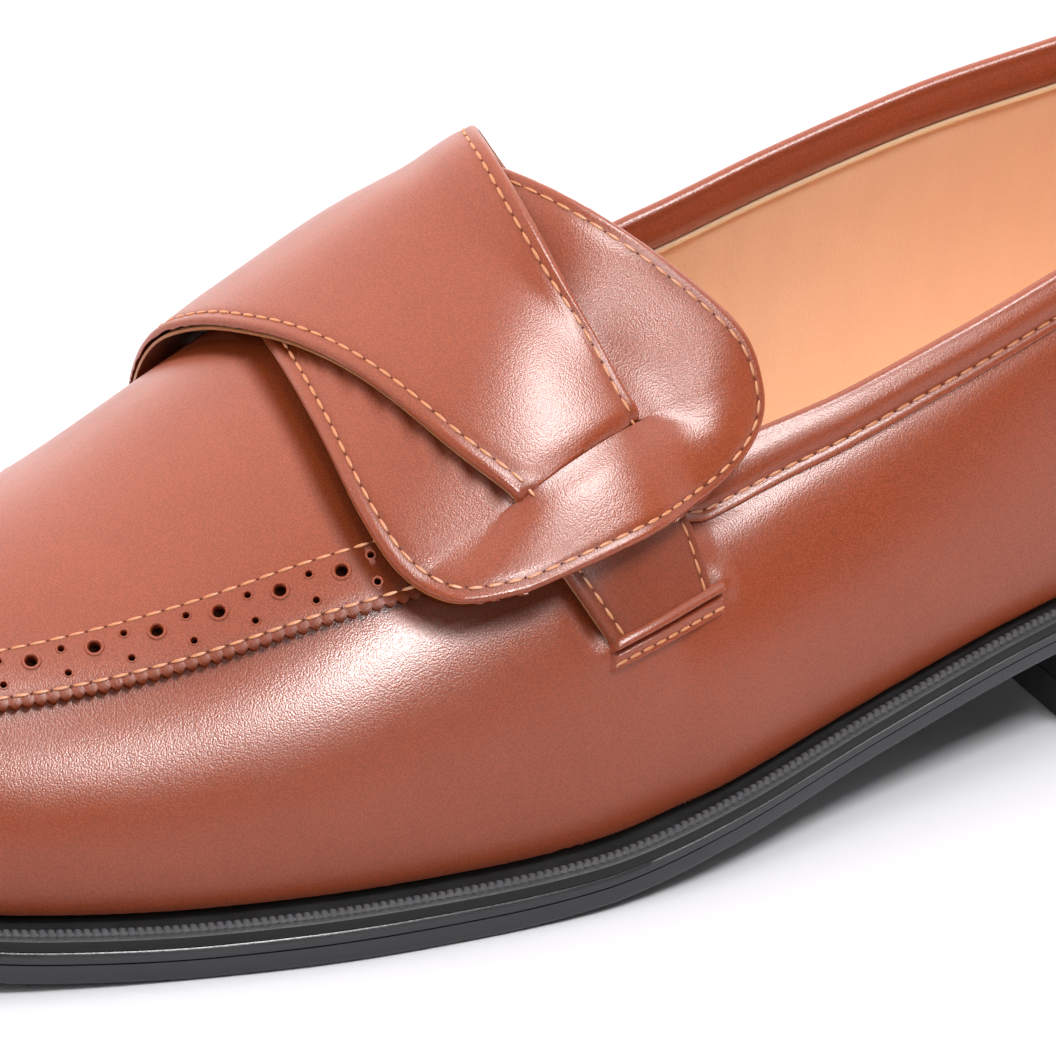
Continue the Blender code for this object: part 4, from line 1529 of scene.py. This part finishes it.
    def sew(self, sewing: Sewing, line: np.ndarray) -> None:
        """Sews along a line given in station and girth.

        Args:
            sewing: takes the rows of stitches.
            line: stations and girths of shape (points, 2).
        """
        s, g = line[:, 0], line[:, 1]
        lift = self.top_at(s, g) - self.trough * self.thread_sink
        points = LAST.on_form(s, g, lift)
        normals = unit(LAST.on_form(s, g, lift + 1.0) - points)
        sewing.row(points, normals)


# Heights of the wings' undersides above the last: on the apron, over the other wing, and at the tabs.
LOW, HIGH, TAB = 2.2, 4.8, 0.5
# First rib of the narrow part of a wing, where it crosses the other one.
CROSSING_RIB = 8
# Rise of both wings over the throat: its height, station and length, and the girth where it ends.
THROAT_LIFT, THROAT_STATION, THROAT_SPREAD = 0.9, 163.0, 26.0
THROAT_GIRTH, THROAT_FADE = 50.0, 25.0
# Medial wing: its steps past the slit's line, how it leaves the rear lobe, and its own lobe.
MEDIAL_STEPS = ((-0.3, -4.0, 4.0), (-3.0, -0.2, 1.2), (TAB - 1.5, 2.0, 14.0), (-0.3, 18.0, 8.0))
MEDIAL_LEAVE = 2.0
MEDIAL_LOBE_STEPS = ((-0.5, 52.0, 14.0),)
BAND_MARGIN, BAND_FADE, BAND_GAP = 3.0, 9.0, 0.5
SINK_GIRTH, SINK_RUN = 20.0, 20.0
# Lateral wing's lobe: its height over the other strap, its reach round it, and its height beside it.
LOBE_TOP = 3.75
LOBE_STEPS = ((0.26, 0.0, 5.0), (-0.5, 4.0, 12.0))
LOBE_MARGIN, LOBE_AHEAD, LOBE_FADE, LOBE_TURN = 2.0, 12.0, 36.0, 14.0
LOBE_REST, LOBE_REST_RUN = 0.25, 8.0
# Slit: how fast it opens from its ends, and how that widens with the distance from its line.
SLIT_RAMP, SLIT_SPREAD, SLIT_WIDEN = 2.4, 2.5, 1.6
# Lateral wing's crest: how far it tucks under at the slit, and where it goes down to its tab.
TUCK, TUCK_START, TUCK_RUN = 0.3, 2.0, 6.0
TAB_GIRTH, TAB_RUN = 46.0, 20.0
FRONT_LIFT, FRONT_START, FRONT_RAMP, FRONT_REACH = 0.5, 0.5, 14.0, 24.0
FLARE, FLARE_START, FLARE_STATION, FLARE_RAMP = 0.18, 2.0, 146.0, 12.0
STAND, STAND_STATION, STAND_GIRTH = 4.6, 139.0, 55.0
STAND_LENGTHS, STAND_WIDTHS = (12.6, 14.3), (12.8, 18.0)
# Painted shadow under the straps' edges, darkening the leather there: its strength, and its width and fade
# beside each edge.
SHADE, SHADE_WIDTH, SHADE_FADE = 0.95, 2.6, 3.6
TAB_SHADE_END, TAB_SHADE_WIDTH, TAB_SHADE_FADE = 75.0, 1.4, 1.8
CROSS_SHADE_END, CROSS_SHADE_WIDTH, CROSS_SHADE_FADE = 49.0, 0.5, 1.4


def past_slit(s: np.ndarray, g: np.ndarray) -> np.ndarray:
    """Distance beyond the slit's line, downwards on the lateral side."""
    return g - SLIT_REAR[1] - slit_share(s) * (SLIT_FRONT[1] - SLIT_REAR[1])


def slit_share(s: np.ndarray) -> np.ndarray:
    """Place along the slit, from 0 at its rear to 1 at its front end."""
    return (s - SLIT_REAR[0]) / (SLIT_FRONT[0] - SLIT_REAR[0])


def slit_open(s: np.ndarray, past: np.ndarray | float = 0.0) -> np.ndarray:
    """1 along the slit, falling to 0 at its two ends; the falls widen with the distance from its line.

    Args:
        s: stations.
        past: distances beyond the slit's line.

    Returns:
        Shares from 0 to 1.
    """
    reach = SLIT_SPREAD * np.maximum(past, 0.0)
    ramp = SLIT_RAMP + SLIT_WIDEN * reach
    return ease((s - SLIT_REAR[0] + reach) / ramp) * ease((SLIT_FRONT[0] - s + reach) / ramp)


def front_lift(s: np.ndarray, past: np.ndarray) -> np.ndarray:
    """How far the lateral wing is pushed up in front of the strap that goes through it."""
    ahead = s - SLIT_FRONT[0] - FRONT_START
    return FRONT_LIFT * ease(ahead / FRONT_RAMP) * ease(1 + past / FRONT_REACH)


def flare(s: np.ndarray, past: np.ndarray) -> np.ndarray:
    """How far the front of the lobe spreads away from the vamp towards its lower edge."""
    run = np.maximum(past, 0.0)
    return FLARE * run**2 / (run + FLARE_START) * ease((s - FLARE_STATION) / FLARE_RAMP)


def throat_lift(s: np.ndarray, g: np.ndarray) -> np.ndarray:
    """Extra height of both wings over the throat."""
    over = np.exp(-((s - THROAT_STATION) / THROAT_SPREAD)**2)
    return THROAT_LIFT * over * ease((THROAT_GIRTH - np.abs(g)) / THROAT_FADE)


def bell(x: np.ndarray, below: float, above: float) -> np.ndarray:
    """Bell curve with its own width on each side."""
    return np.exp(-np.where(x < 0, x / below, x / above)**2)


def stand_off(s: np.ndarray, g: np.ndarray) -> np.ndarray:
    """How far the stiff rear lobe of the lateral wing stands off the hollow under it."""
    return STAND * bell(s - STAND_STATION, *STAND_LENGTHS) * bell(g - STAND_GIRTH, *STAND_WIDTHS)


def inside_band(
    ribs: np.ndarray, s: np.ndarray, g: np.ndarray, margin: float, fade: float, ahead: float = 0.0,
) -> np.ndarray:
    """1 between a strap's edges and a margin, wider ahead of it, fading to 0 outside them.

    Args:
        ribs: the strap's ribs.
        s: stations.
        g: girths from the crest.
        margin: distance outside the edges that still counts.
        fade: length of the fall.
        ahead: extra margin at the front.

    Returns:
        Shares from 0 to 1.
    """
    order = np.argsort(ribs[:, 1])
    front = np.interp(g, ribs[order, 1], ribs[order, 0])
    order = np.argsort(ribs[:, 3])
    rear = np.interp(g, ribs[order, 3], ribs[order, 2])
    outside = np.maximum(s - front - ahead, rear - s) - margin
    return ease(1 - outside / fade)


def medial_height(s: np.ndarray, g: np.ndarray) -> np.ndarray:
    """Underside of the medial wing: over the lateral wing, then through the slit and down to its tab.

    Args:
        s: stations.
        g: girths from the crest.

    Returns:
        Heights above the last.
    """
    past = past_slit(s, g)
    band = HIGH + stepped(past, MEDIAL_STEPS) + stand_off(s, g) * ease(-past / MEDIAL_LEAVE)
    beside_band = 1 - inside_band(LATERAL_RIBS[CROSSING_RIB:], s, g, BAND_MARGIN, BAND_FADE)
    sink = (HIGH - LOW - BAND_GAP) * beside_band * ease((-g - SINK_GIRTH) / SINK_RUN)
    lobe = HIGH + stepped(-g, MEDIAL_LOBE_STEPS) - sink
    return np.where(g > 0, band, lobe) + throat_lift(s, g)


def lateral_lobe(s: np.ndarray, g: np.ndarray) -> np.ndarray:
    """Underside of the lateral wing below the slit, raised over the other strap.

    Args:
        s: stations.
        g: girths from the crest.

    Returns:
        Heights above the last.
    """
    past = past_slit(s, g)
    opened = slit_open(s, past)
    raise_to = LOBE_TOP + stepped(past, LOBE_STEPS)
    band = inside_band(MEDIAL_RIBS[CROSSING_RIB:], s, g, LOBE_MARGIN, LOBE_FADE, LOBE_AHEAD)
    share = opened + (band - opened) * ease(past / LOBE_TURN)
    rest = LOW + LOBE_REST * ease(past / LOBE_REST_RUN) + front_lift(s, past)
    raised = rest + (raise_to - rest) * share
    return raised + flare(s, past) + stand_off(s, g) + throat_lift(s, g)


def lateral_crest(s: np.ndarray, g: np.ndarray) -> np.ndarray:
    """Underside of the lateral wing above the slit and over to its medial tab.

    Args:
        s: stations.
        g: girths from the crest.

    Returns:
        Heights above the last.
    """
    past = past_slit(s, g)
    tuck = TUCK * slit_open(s) * ease(1 + (past + TUCK_START) / TUCK_RUN)
    tab = LOW + (TAB - LOW) * ease((-g - TAB_GIRTH) / TAB_RUN)
    return np.where(g > 0, LOW - tuck + front_lift(s, past), tab) + stand_off(s, g) + throat_lift(s, g)


def lateral_height(s: np.ndarray, g: np.ndarray) -> np.ndarray:
    """Underside of the lateral wing on both sides of its slit."""
    return np.where(past_slit(s, g) > 0, lateral_lobe(s, g), lateral_crest(s, g))


def medial_front(limit: float) -> np.ndarray:
    """Front edge of the medial wing in station and girth, down to a girth on the lateral side.

    Args:
        limit: girth where the line ends.

    Returns:
        Stations and girths of shape (points, 2).
    """
    wing = Wing("edge", "strap_medial", MEDIAL_RIBS, medial_height)
    ribs = np.linspace(0, len(MEDIAL_RIBS) - 1, wing.edge_steps)
    line = np.stack(wing.flat(ribs, np.zeros(ribs.shape)), -1)
    return line[line[:, 1] < limit]


def painted_shadow_beside(points: np.ndarray, line: np.ndarray, width: float, fade: float) -> np.ndarray:
    """Painted shadow beside a line, full up to a width and then fading, from 0 to 1."""
    return SHADE * (1 - ease((gap_to(points, line) - width) / fade))


def painted_strap_shadow(points: np.ndarray) -> np.ndarray:
    """Painted shadow on the leather close under the edges of the wings, from 0 to 1.

    Args:
        points: grid of points in last coordinates.

    Returns:
        The painted shadow at each point.
    """
    lateral = Wing("edge", "strap_lateral", LATERAL_RIBS, lateral_height).outline()
    medial = medial_front(TAB_SHADE_END)
    return np.maximum(
        painted_shadow_beside(points, LAST.on_form(lateral[:, 0], lateral[:, 1]), SHADE_WIDTH, SHADE_FADE),
        painted_shadow_beside(points, LAST.on_form(medial[:, 0], medial[:, 1]), TAB_SHADE_WIDTH, TAB_SHADE_FADE),
    )


@dataclass
class SlitWing(Wing):
    """The lateral wing, slit so that the other one can pass through it."""

    bow: float = 0.75
    slit_gap: float = 0.6
    slit_near: float = 8.0
    slit_search: tuple[float, float, int] = (0.8, 7.0, 900)
    lobe_rows: int = 56
    lobe_even: float = 0.3
    crest_rows: int = 120
    crest_crowding: tuple[float, float] = (0.25, 1.6)

    def slit_ribs(self) -> np.ndarray:
        """Rib number where the slit's line crosses each fraction across the strap.

        Returns:
            The rib numbers.
        """
        a = np.linspace(*self.slit_search)
        found = []
        for t in self.across:
            s, g = self.flat(a, np.full(a.shape, t))
            found.append(np.interp(0.0, -past_slit(s, g), a))
        return np.array(found)

    def crossing_shadow(self, s: np.ndarray, g: np.ndarray) -> np.ndarray:
        """Painted shadow on the face along the front edge of the medial wing."""
        line = medial_front(CROSS_SHADE_END)
        return painted_shadow_beside(np.stack([s, g], -1), line, CROSS_SHADE_WIDTH, CROSS_SHADE_FADE)

    def grids(self) -> list[tuple[np.ndarray, np.ndarray, np.ndarray]]:
        """A patch on each side of the slit; they share the points beyond its ends.

        Returns:
            Stations, girths and heights of each patch.
        """
        at_slit = self.slit_ribs()[None, :]
        u = np.linspace(0, 1, self.lobe_rows)[:, None]
        a = at_slit * (self.lobe_even * u + (1 - self.lobe_even) * (1 - np.cos(math.pi * u)) / 2)
        lobe_s, lobe_g = self.flat(a, np.broadcast_to(self.across[None, :], a.shape))
        u = np.linspace(0, 1, self.crest_rows)[:, None]
        even, power = self.crest_crowding
        a = at_slit + (len(self.ribs) - 1 - at_slit) * (even * u + (1 - even) * u**power)
        crest_s, crest_g = self.flat(a, np.broadcast_to(self.across[None, :], a.shape))
        near = ease(1 + past_slit(crest_s, crest_g) / self.slit_near)
        crest_g = crest_g - self.slit_gap * slit_open(crest_s) * near
        return [
            (lobe_s, lobe_g, lateral_lobe(lobe_s, lobe_g)),
            (crest_s, crest_g, lateral_crest(crest_s, crest_g)),
        ]


@dataclass
class TabLip:
    """The sewn mouth in the quarter that a tab goes into: a rounded lip with its seam."""

    name: str
    front: tuple[float, float]
    rear: tuple[float, float]
    seam: float = 3.0
    before: float = 0.8
    beyond: float = 2.2
    end_ramps: tuple[float, float] = (1.2, 1.4)
    sink: float = 0.5
    thickness: float = 1.0
    rounding: float = 0.1
    stitch_ends: tuple[float, float] = (0.2, 0.8)
    stitch_height: float = 1.62
    stitch_pitch: float = 2.6
    profile: tuple[tuple[float, float], ...] = (
        (-1.1, 1.9), (-0.8, 2.42), (-0.55, 2.68), (-0.3, 2.86), (0.0, 2.98), (0.25, 3.0), (0.5, 2.85),
        (0.7, 2.3), (0.9, 1.5), (1.1, 1.3), (1.3, 1.7), (1.7, 2.0), (2.2, 1.9), (2.6, 1.7), (3.0, 1.55),
        (3.3, 1.75), (3.7, 1.7), (4.0, 1.3), (4.3, 0.5), (4.6, -0.3),
    )

    def build(self, sewing: Sewing) -> None:
        """Makes the lip and its seam.

        Args:
            sewing: takes the rows of stitches.
        """
        front = np.array(self.front)
        rear = np.array(self.rear)
        run = rear - front
        length = np.linalg.norm(run)
        run = run / length
        down = np.array((-run[1], run[0]))
        if down[1] * front[1] < 0:
            down = -down
        t = np.linspace(-self.before, length + self.beyond, 60)
        across, rise = np.array(self.profile).T
        place = front + t[:, None, None] * run + across[None, :, None] * down
        ends = ease((t + self.before) / self.end_ramps[0])
        ends = (ends * ease((length + self.beyond - t) / self.end_ramps[1]))[:, None]
        lift = rise[None, :] * ends - self.sink * (1 - ends)
        lip = Bench.join(self.name, [Bench.grid(self.name, LAST.on_form(place[..., 0], place[..., 1], lift))])
        Wing.turn_up(lip)
        Bench.thicken(lip, self.thickness, -1, self.rounding)
        Bench.dress(lip, CALF, "tan_leather")
        start, stop = self.stitch_ends
        seam = front + np.linspace(start, length + self.beyond - stop, 30)[:, None] * run + self.seam * down
        points, above = (
            LAST.on_form(seam[:, 0], seam[:, 1], self.stitch_height + step) for step in (0.0, 1.0)
        )
        sewing.row(points, unit(above - points), self.stitch_pitch)


# Welt's section: the share of the sole's reach, the inset from there, the height and the share of the ridges.
WELT_SECTION = (
    (0.0, 8.0, 2.2, 0.0), (0.0, 2.4, 2.1, 0.0), (1.0, 5.0, 1.7, 0.0), (1.0, 4.0, 1.6, 0.0),
    (1.0, 3.2, 1.7, 0.0), (1.0, 2.8, 2.1, 0.0), (1.0, 2.6, 2.5, 0.5), (1.0, 2.4, 2.8, 0.9),
    (1.0, 2.0, 3.0, 1.0), (1.0, 1.6, 2.95, 1.0), (1.0, 1.3, 2.7, 0.8), (1.0, 1.1, 2.45, 0.4),
    (1.0, 0.9, 2.3, 0.0), (1.0, 0.4, 2.2, 0.0), (1.0, 0.02, 1.9, 0.0), (1.0, 0.0, 1.4, 0.0),
    (1.0, 0.0, 0.4, 0.0), (1.0, 0.25, 0.0, 0.0), (1.0, 3.0, 0.0, 0.0), (0.0, 8.0, 0.0, 0.0),
)
# Outsole's edge: the inset from the welt's rim and the share of the thickness, with a fine groove.
OUTSOLE_EDGE = (
    (1.2, 1.0), (0.55, 1.0), (0.32, 0.95), (0.3, 0.70), (0.32, 0.66), (0.72, 0.645), (0.72, 0.625),
    (0.32, 0.61), (0.3, 0.57), (0.3, 0.18), (0.36, 0.08), (0.7, 0.0), (1.6, 0.0),
)


@dataclass
class Bottom:
    """Outsole, welt, heel and insole."""

    rim_rows: int = 1500
    ridge_pitch: float = 1.35
    ridge_steps: int = 6
    ridge_height: float = 0.28
    ridge_power: float = 0.8
    ridge_grey: float = 0.5
    breast: float = 69.0
    lift: float = 6.0
    heel_insets: tuple[float, float, float] = (0.8, 2.2, 2.6)
    heel_layers: tuple[float, ...] = (0.75, 0.5, 0.25)
    layer_groove: float = 0.22
    layer_half: float = 0.012
    insole_thickness: float = 2.5
    insole_inset: float = 2.8

    def build(self) -> None:
        """Makes all pieces of the bottom."""
        self.build_welt()
        self.build_outsole()
        self.build_heel()
        self.build_insole()

    def rim(self) -> tuple[np.ndarray, np.ndarray, np.ndarray]:
        """Rows, side signs and ridge phase at an even distance round the sole's edge.

        Returns:
            The rows, the signs and the phase, in ridges.
        """
        fine = np.linspace(0, TOE, self.rim_rows)
        rows = np.concatenate([fine, fine[-2::-1]])
        edge = np.concatenate([LAST.sole_edge(fine, Side.LATERAL), LAST.sole_edge(fine, Side.MEDIAL)[-2::-1]])
        run = np.concatenate(([0.0], np.cumsum(np.linalg.norm(np.diff(edge, axis=0), axis=1))))
        ridges = int(round(run[-1] / self.ridge_pitch))
        at = np.linspace(0, run[-1], ridges * self.ridge_steps + 1)
        position = np.interp(at, run, np.arange(len(rows)))
        sign = np.where(position <= self.rim_rows - 1, 1.0, -1.0)
        phase = np.arange(len(at)) / self.ridge_steps
        return np.interp(position, np.arange(len(rows)), rows), sign, phase

    def build_welt(self) -> None:
        """Makes the welt: a wheeled ridge along its rim and a groove beside the upper."""
        row, sign, phase = self.rim()
        ridge = np.abs(np.cos(math.pi * phase))**self.ridge_power
        reach = LAST.sole_run("reach", LAST.column("foot_s", row))
        points = np.zeros((len(row), len(WELT_SECTION), 3))
        tone = np.zeros((len(row), len(WELT_SECTION)))
        for j, (out, inset, level, share) in enumerate(WELT_SECTION):
            offset = reach * out - inset
            for side in Side:
                chosen = sign == side.value
                points[chosen, j, :2] = LAST.outline(row[chosen], side, offset[chosen])
            base = LAST.welt_top(points[:, j, 1]) - LAST.welt_thickness
            points[:, j, 2] = base + level - self.ridge_height * share * (1 - ridge)
            tone[:, j] = self.ridge_grey * share * ridge
        closed = np.concatenate([points, points[:, :1]], 1)
        tone = np.concatenate([tone, tone[:, :1]], 1)
        welt = Bench.join("welt_strip", [Bench.grid("welt_strip", closed, tone)])
        Bench.dress(welt, WELT_INK, "sole_black", ["welt"])

    def loft(
        self, name: str, row: np.ndarray, profile: Sequence[tuple[np.ndarray | float, Level]],
        across: int = 9,
    ) -> bpy.types.Object:
        """Closed solid of sections across the sole.

        Args:
            name: name of the piece.
            row: section rows, from the heel back.
            profile: from the top to the bottom edge, the inset from the welt's rim and the height.
            across: points across the top and bottom faces.

        Returns:
            The piece.
        """
        edges = {}
        for side in Side:
            rim = []
            for inset, level in profile:
                plan = LAST.sole_edge(row, side, inset)
                rim.append(np.concatenate([plan, level(plan[:, 1])[:, None]], 1))
            edges[side] = np.stack(rim, 1)
        share = np.linspace(0, 1, across + 2)[1:-1][None, :, None]
        ring = [edges[Side.LATERAL]]
        bottom = edges[Side.LATERAL][:, -1:] * (1 - share) + edges[Side.MEDIAL][:, -1:] * share
        bottom[..., 2] = profile[-1][1](bottom[..., 1])
        ring.append(bottom)
        ring.append(edges[Side.MEDIAL][:, ::-1])
        top = edges[Side.MEDIAL][:, :1] * (1 - share) + edges[Side.LATERAL][:, :1] * share
        top[..., 2] = profile[0][1](top[..., 1])
        ring.append(top)
        ring.append(edges[Side.LATERAL][:, :1])
        return Bench.join(name, [Bench.grid(name, np.concatenate(ring, 1))])

    def build_outsole(self) -> None:
        """Makes the outsole with rounded edges and the fine groove round its edge."""
        def level(share: float) -> Level:
            """Height at a share of the sole's thickness."""
            return lambda s: LAST.sole_run("underside", s) + LAST.sole_run("thickness", s) * share

        profile = [(inset, level(share)) for inset, share in OUTSOLE_EDGE]
        sole = self.loft("outsole_leather", np.linspace(0, TOE, 320), profile)
        Bench.dress(sole, SOLE_INK, "sole_black", ["outsole"])

    def build_heel(self) -> None:
        """Makes the heel of stacked lifts and its rubber lift."""
        fine = np.linspace(0, 6, 600)
        last_row = np.interp(self.breast, LAST.column("foot_s", fine), fine)
        row = np.linspace(0, last_row, 120)
        top, foot, ground = self.heel_insets

        def stack(share: float) -> Level:
            """Height at a share of the stack."""
            low = self.lift + LAST.gap
            return lambda s: low + (LAST.sole_run("underside", s) - LAST.gap - low) * share

        profile = [(top + 0.8, stack(1.0)), (top + 0.2, stack(1.0)), (top, stack(0.97))]
        half = self.layer_half
        for layer in self.heel_layers:
            inset = top + (foot - top) * (1 - layer)
            for depth, share in ((0.0, half), (self.layer_groove, 0.0), (0.0, -half)):
                profile.append((inset + depth, stack(layer + share)))
        profile += [(foot, stack(0.03)), (foot + 0.15, stack(0.0)), (foot + 0.9, stack(0.0))]
        heel = self.loft("heel_stack_leather", row, profile)
        Bench.cap(heel)
        Bench.dress(heel, SOLE_INK, "sole_black", ["heel_stack"])

        def flat(height: float) -> Level:
            """The same height all over."""
            return lambda s: np.full(np.shape(s), height)

        profile = [
            (foot + 0.9, flat(self.lift)), (foot + 0.1, flat(self.lift)), (foot, flat(self.lift - 0.25)),
            (ground, flat(0.5)), (ground + 0.15, flat(0.12)), (ground + 0.5, flat(0.0)),
            (ground + 1.4, flat(0.0)),
        ]
        rubber = self.loft("heel_lift_rubber", row, profile)
        Bench.cap(rubber)
        Bench.dress(rubber, RUBBER, "lift_rubber", ["heel_top_lift"])

    def build_insole(self) -> None:
        """Makes the insole with the sock leather that covers it."""
        row = np.linspace(0, TOE, 140)
        reach = LAST.sole_run("reach", LAST.column("foot_s", row))

        def level(height: float) -> Level:
            """Height above the upper's bottom edge."""
            return lambda s: LAST.welt_top(s) + LAST.gap + height

        inset = reach + self.insole_inset
        profile = [
            (inset + 1.0, level(self.insole_thickness)), (inset + 0.2, level(self.insole_thickness - 0.1)),
            (inset, level(self.insole_thickness - 0.5)), (inset, level(0.0)), (inset + 1.0, level(0.0)),
        ]
        insole = self.loft("insole_sock", row, profile, 15)
        Bench.dress(insole, LINING, "lining_leather", ["insole"])


@dataclass(frozen=True)
class SoftBox:
    """A rectangular lamp that faces a spot on the shoe, for all light or only for the sheen."""

    name: str
    spot: tuple[float, float, float]
    direction: tuple[float, float, float]
    distance: float
    size: tuple[float, float]
    power: float
    fills: bool

    def build(self) -> None:
        """Hangs the lamp."""
        data = bpy.data.lights.new(self.name, "AREA")
        data.shape = "RECTANGLE"
        data.size, data.size_y = self.size
        data.energy = self.power
        light = bpy.data.objects.new(self.name, data)
        aim = Vector(self.direction).normalized()
        turn = aim.to_track_quat("Z", "Y").to_matrix().to_4x4()
        light.matrix_world = Matrix.Translation(Vector(self.spot) + aim * self.distance) @ turn
        light.visible_diffuse = self.fills
        light.visible_camera = False
        bpy.context.scene.collection.objects.link(light)


@dataclass
class Studio:
    """Camera, floor and soft light."""

    azimuth: float = 28.67
    elevation: float = 28.09
    roll: float = 1.69
    distance: float = 1067.6
    target: tuple[float, float, float] = (24.61, 162.84, 51.68)
    pixels_per_mm: float = 6.52
    frame_pixels: float = 1056.0
    sensor: float = 36.0
    room_light: float = 2.1
    room_dark: float = 0.03
    room_edge: tuple[float, float] = (-0.2, 0.6)
    floor_size: float = 6.0
    floor_drop: float = 0.0002
    far: float = 20.0
    boxes: tuple[SoftBox, ...] = (
        SoftBox("overhead", (0.0, 0.0, 0.05), (0.43, 0.20, 0.88), 1.2, (0.36, 0.36), 9.5, True),
        SoftBox("overhead_sheen", (0.0, 0.0, 0.05), (0.43, 0.20, 0.88), 1.2, (0.46, 0.46), 16.5, False),
        SoftBox("outer_side_sheen", (0.0, 0.0, 0.05), (0.845, 0.0, 0.535), 1.2, (0.26, 0.24), 8.0, False),
        SoftBox("vamp_sheen", (0.038, -0.061, 0.038), (0.798, -0.059, 0.6), 0.2, (0.045, 0.042), 0.55, False),
    )

    def build(self) -> None:
        """Makes the stage."""
        self.build_camera()
        self.build_floor()
        self.build_light()

    def build_camera(self) -> None:
        """Puts the camera at the photograph's viewing angle."""
        az, el, roll = np.radians((self.azimuth, self.elevation, self.roll))
        back = np.array((math.cos(az) * math.cos(el), math.sin(az) * math.cos(el), math.sin(el)))
        right = unit(np.array((back[1], -back[0], 0.0)))
        up = -np.cross(back, right)
        side = math.cos(roll) * right + math.sin(roll) * up
        head = -math.sin(roll) * right + math.cos(roll) * up
        place = LAST.placed(np.array(self.target) + self.distance * back)
        axes = [np.array((v[0], -v[1], v[2])) for v in (side, head, back)]
        data = bpy.data.cameras.new("camera")
        data.sensor_width = self.sensor
        data.lens = self.sensor * self.pixels_per_mm * self.distance / self.frame_pixels
        data.clip_end = self.far
        camera = bpy.data.objects.new("camera", data)
        turn = Matrix([[axes[j][i] for j in range(3)] for i in range(3)])
        camera.matrix_world = Matrix.Translation(place.tolist()) @ turn.to_4x4()
        bpy.context.scene.collection.objects.link(camera)
        bpy.context.scene.camera = camera

    def build_floor(self) -> None:
        """Lays the pale floor."""
        Bench.clear()
        bpy.ops.mesh.primitive_plane_add(size=self.floor_size, location=(0, 0, -self.floor_drop))
        floor = bpy.context.object
        floor.name = "floor"
        floor.data.materials.append(FLOOR.material())

    def build_light(self) -> None:
        """Sets the soft boxes, and a white room that is dark on the camera's side."""
        world = bpy.data.worlds.new("studio")
        world.use_nodes = True
        tree = world.node_tree
        towards = add_node(tree, "ShaderNodeTexCoord").outputs["Generated"]
        across = add_node(tree, "ShaderNodeSeparateXYZ", {"Vector": towards}).outputs["X"]
        glow = add_node(tree, "ShaderNodeMapRange", {
            "Value": across, "From Min": self.room_edge[0], "From Max": self.room_edge[1],
            "To Min": self.room_light, "To Max": self.room_dark,
        }, interpolation_type="SMOOTHSTEP")
        tree.links.new(glow.outputs["Result"], tree.nodes["Background"].inputs["Strength"])
        tree.nodes["Background"].inputs["Color"].default_value = (1.0, 1.0, 1.0, 1.0)
        bpy.context.scene.world = world
        bpy.context.scene.view_settings.view_transform = "Standard"
        for box in self.boxes:
            box.build()


def main() -> None:
    """Builds the shoe's pieces in order and sets the stage."""
    logging.basicConfig(level=logging.INFO, format="%(message)s")
    sewing = Sewing()
    upper = Upper()
    upper.build()
    upper.build_collar(sewing)
    upper.build_lining()
    Apron().build(sewing)
    SlitWing("wing_lateral", "strap_lateral", LATERAL_RIBS, lateral_height).build(sewing, "tan_leather")
    Wing("wing_medial", "strap_medial", MEDIAL_RIBS, medial_height).build(sewing, "tan_leather")
    TabLip("tab_lip_lateral", *LATERAL_MOUTH).build(sewing)
    TabLip("tab_lip_medial", *MEDIAL_MOUTH).build(sewing)
    sewing.build()
    Bottom().build()
    Studio().build()


if __name__ == "__main__":
    main()
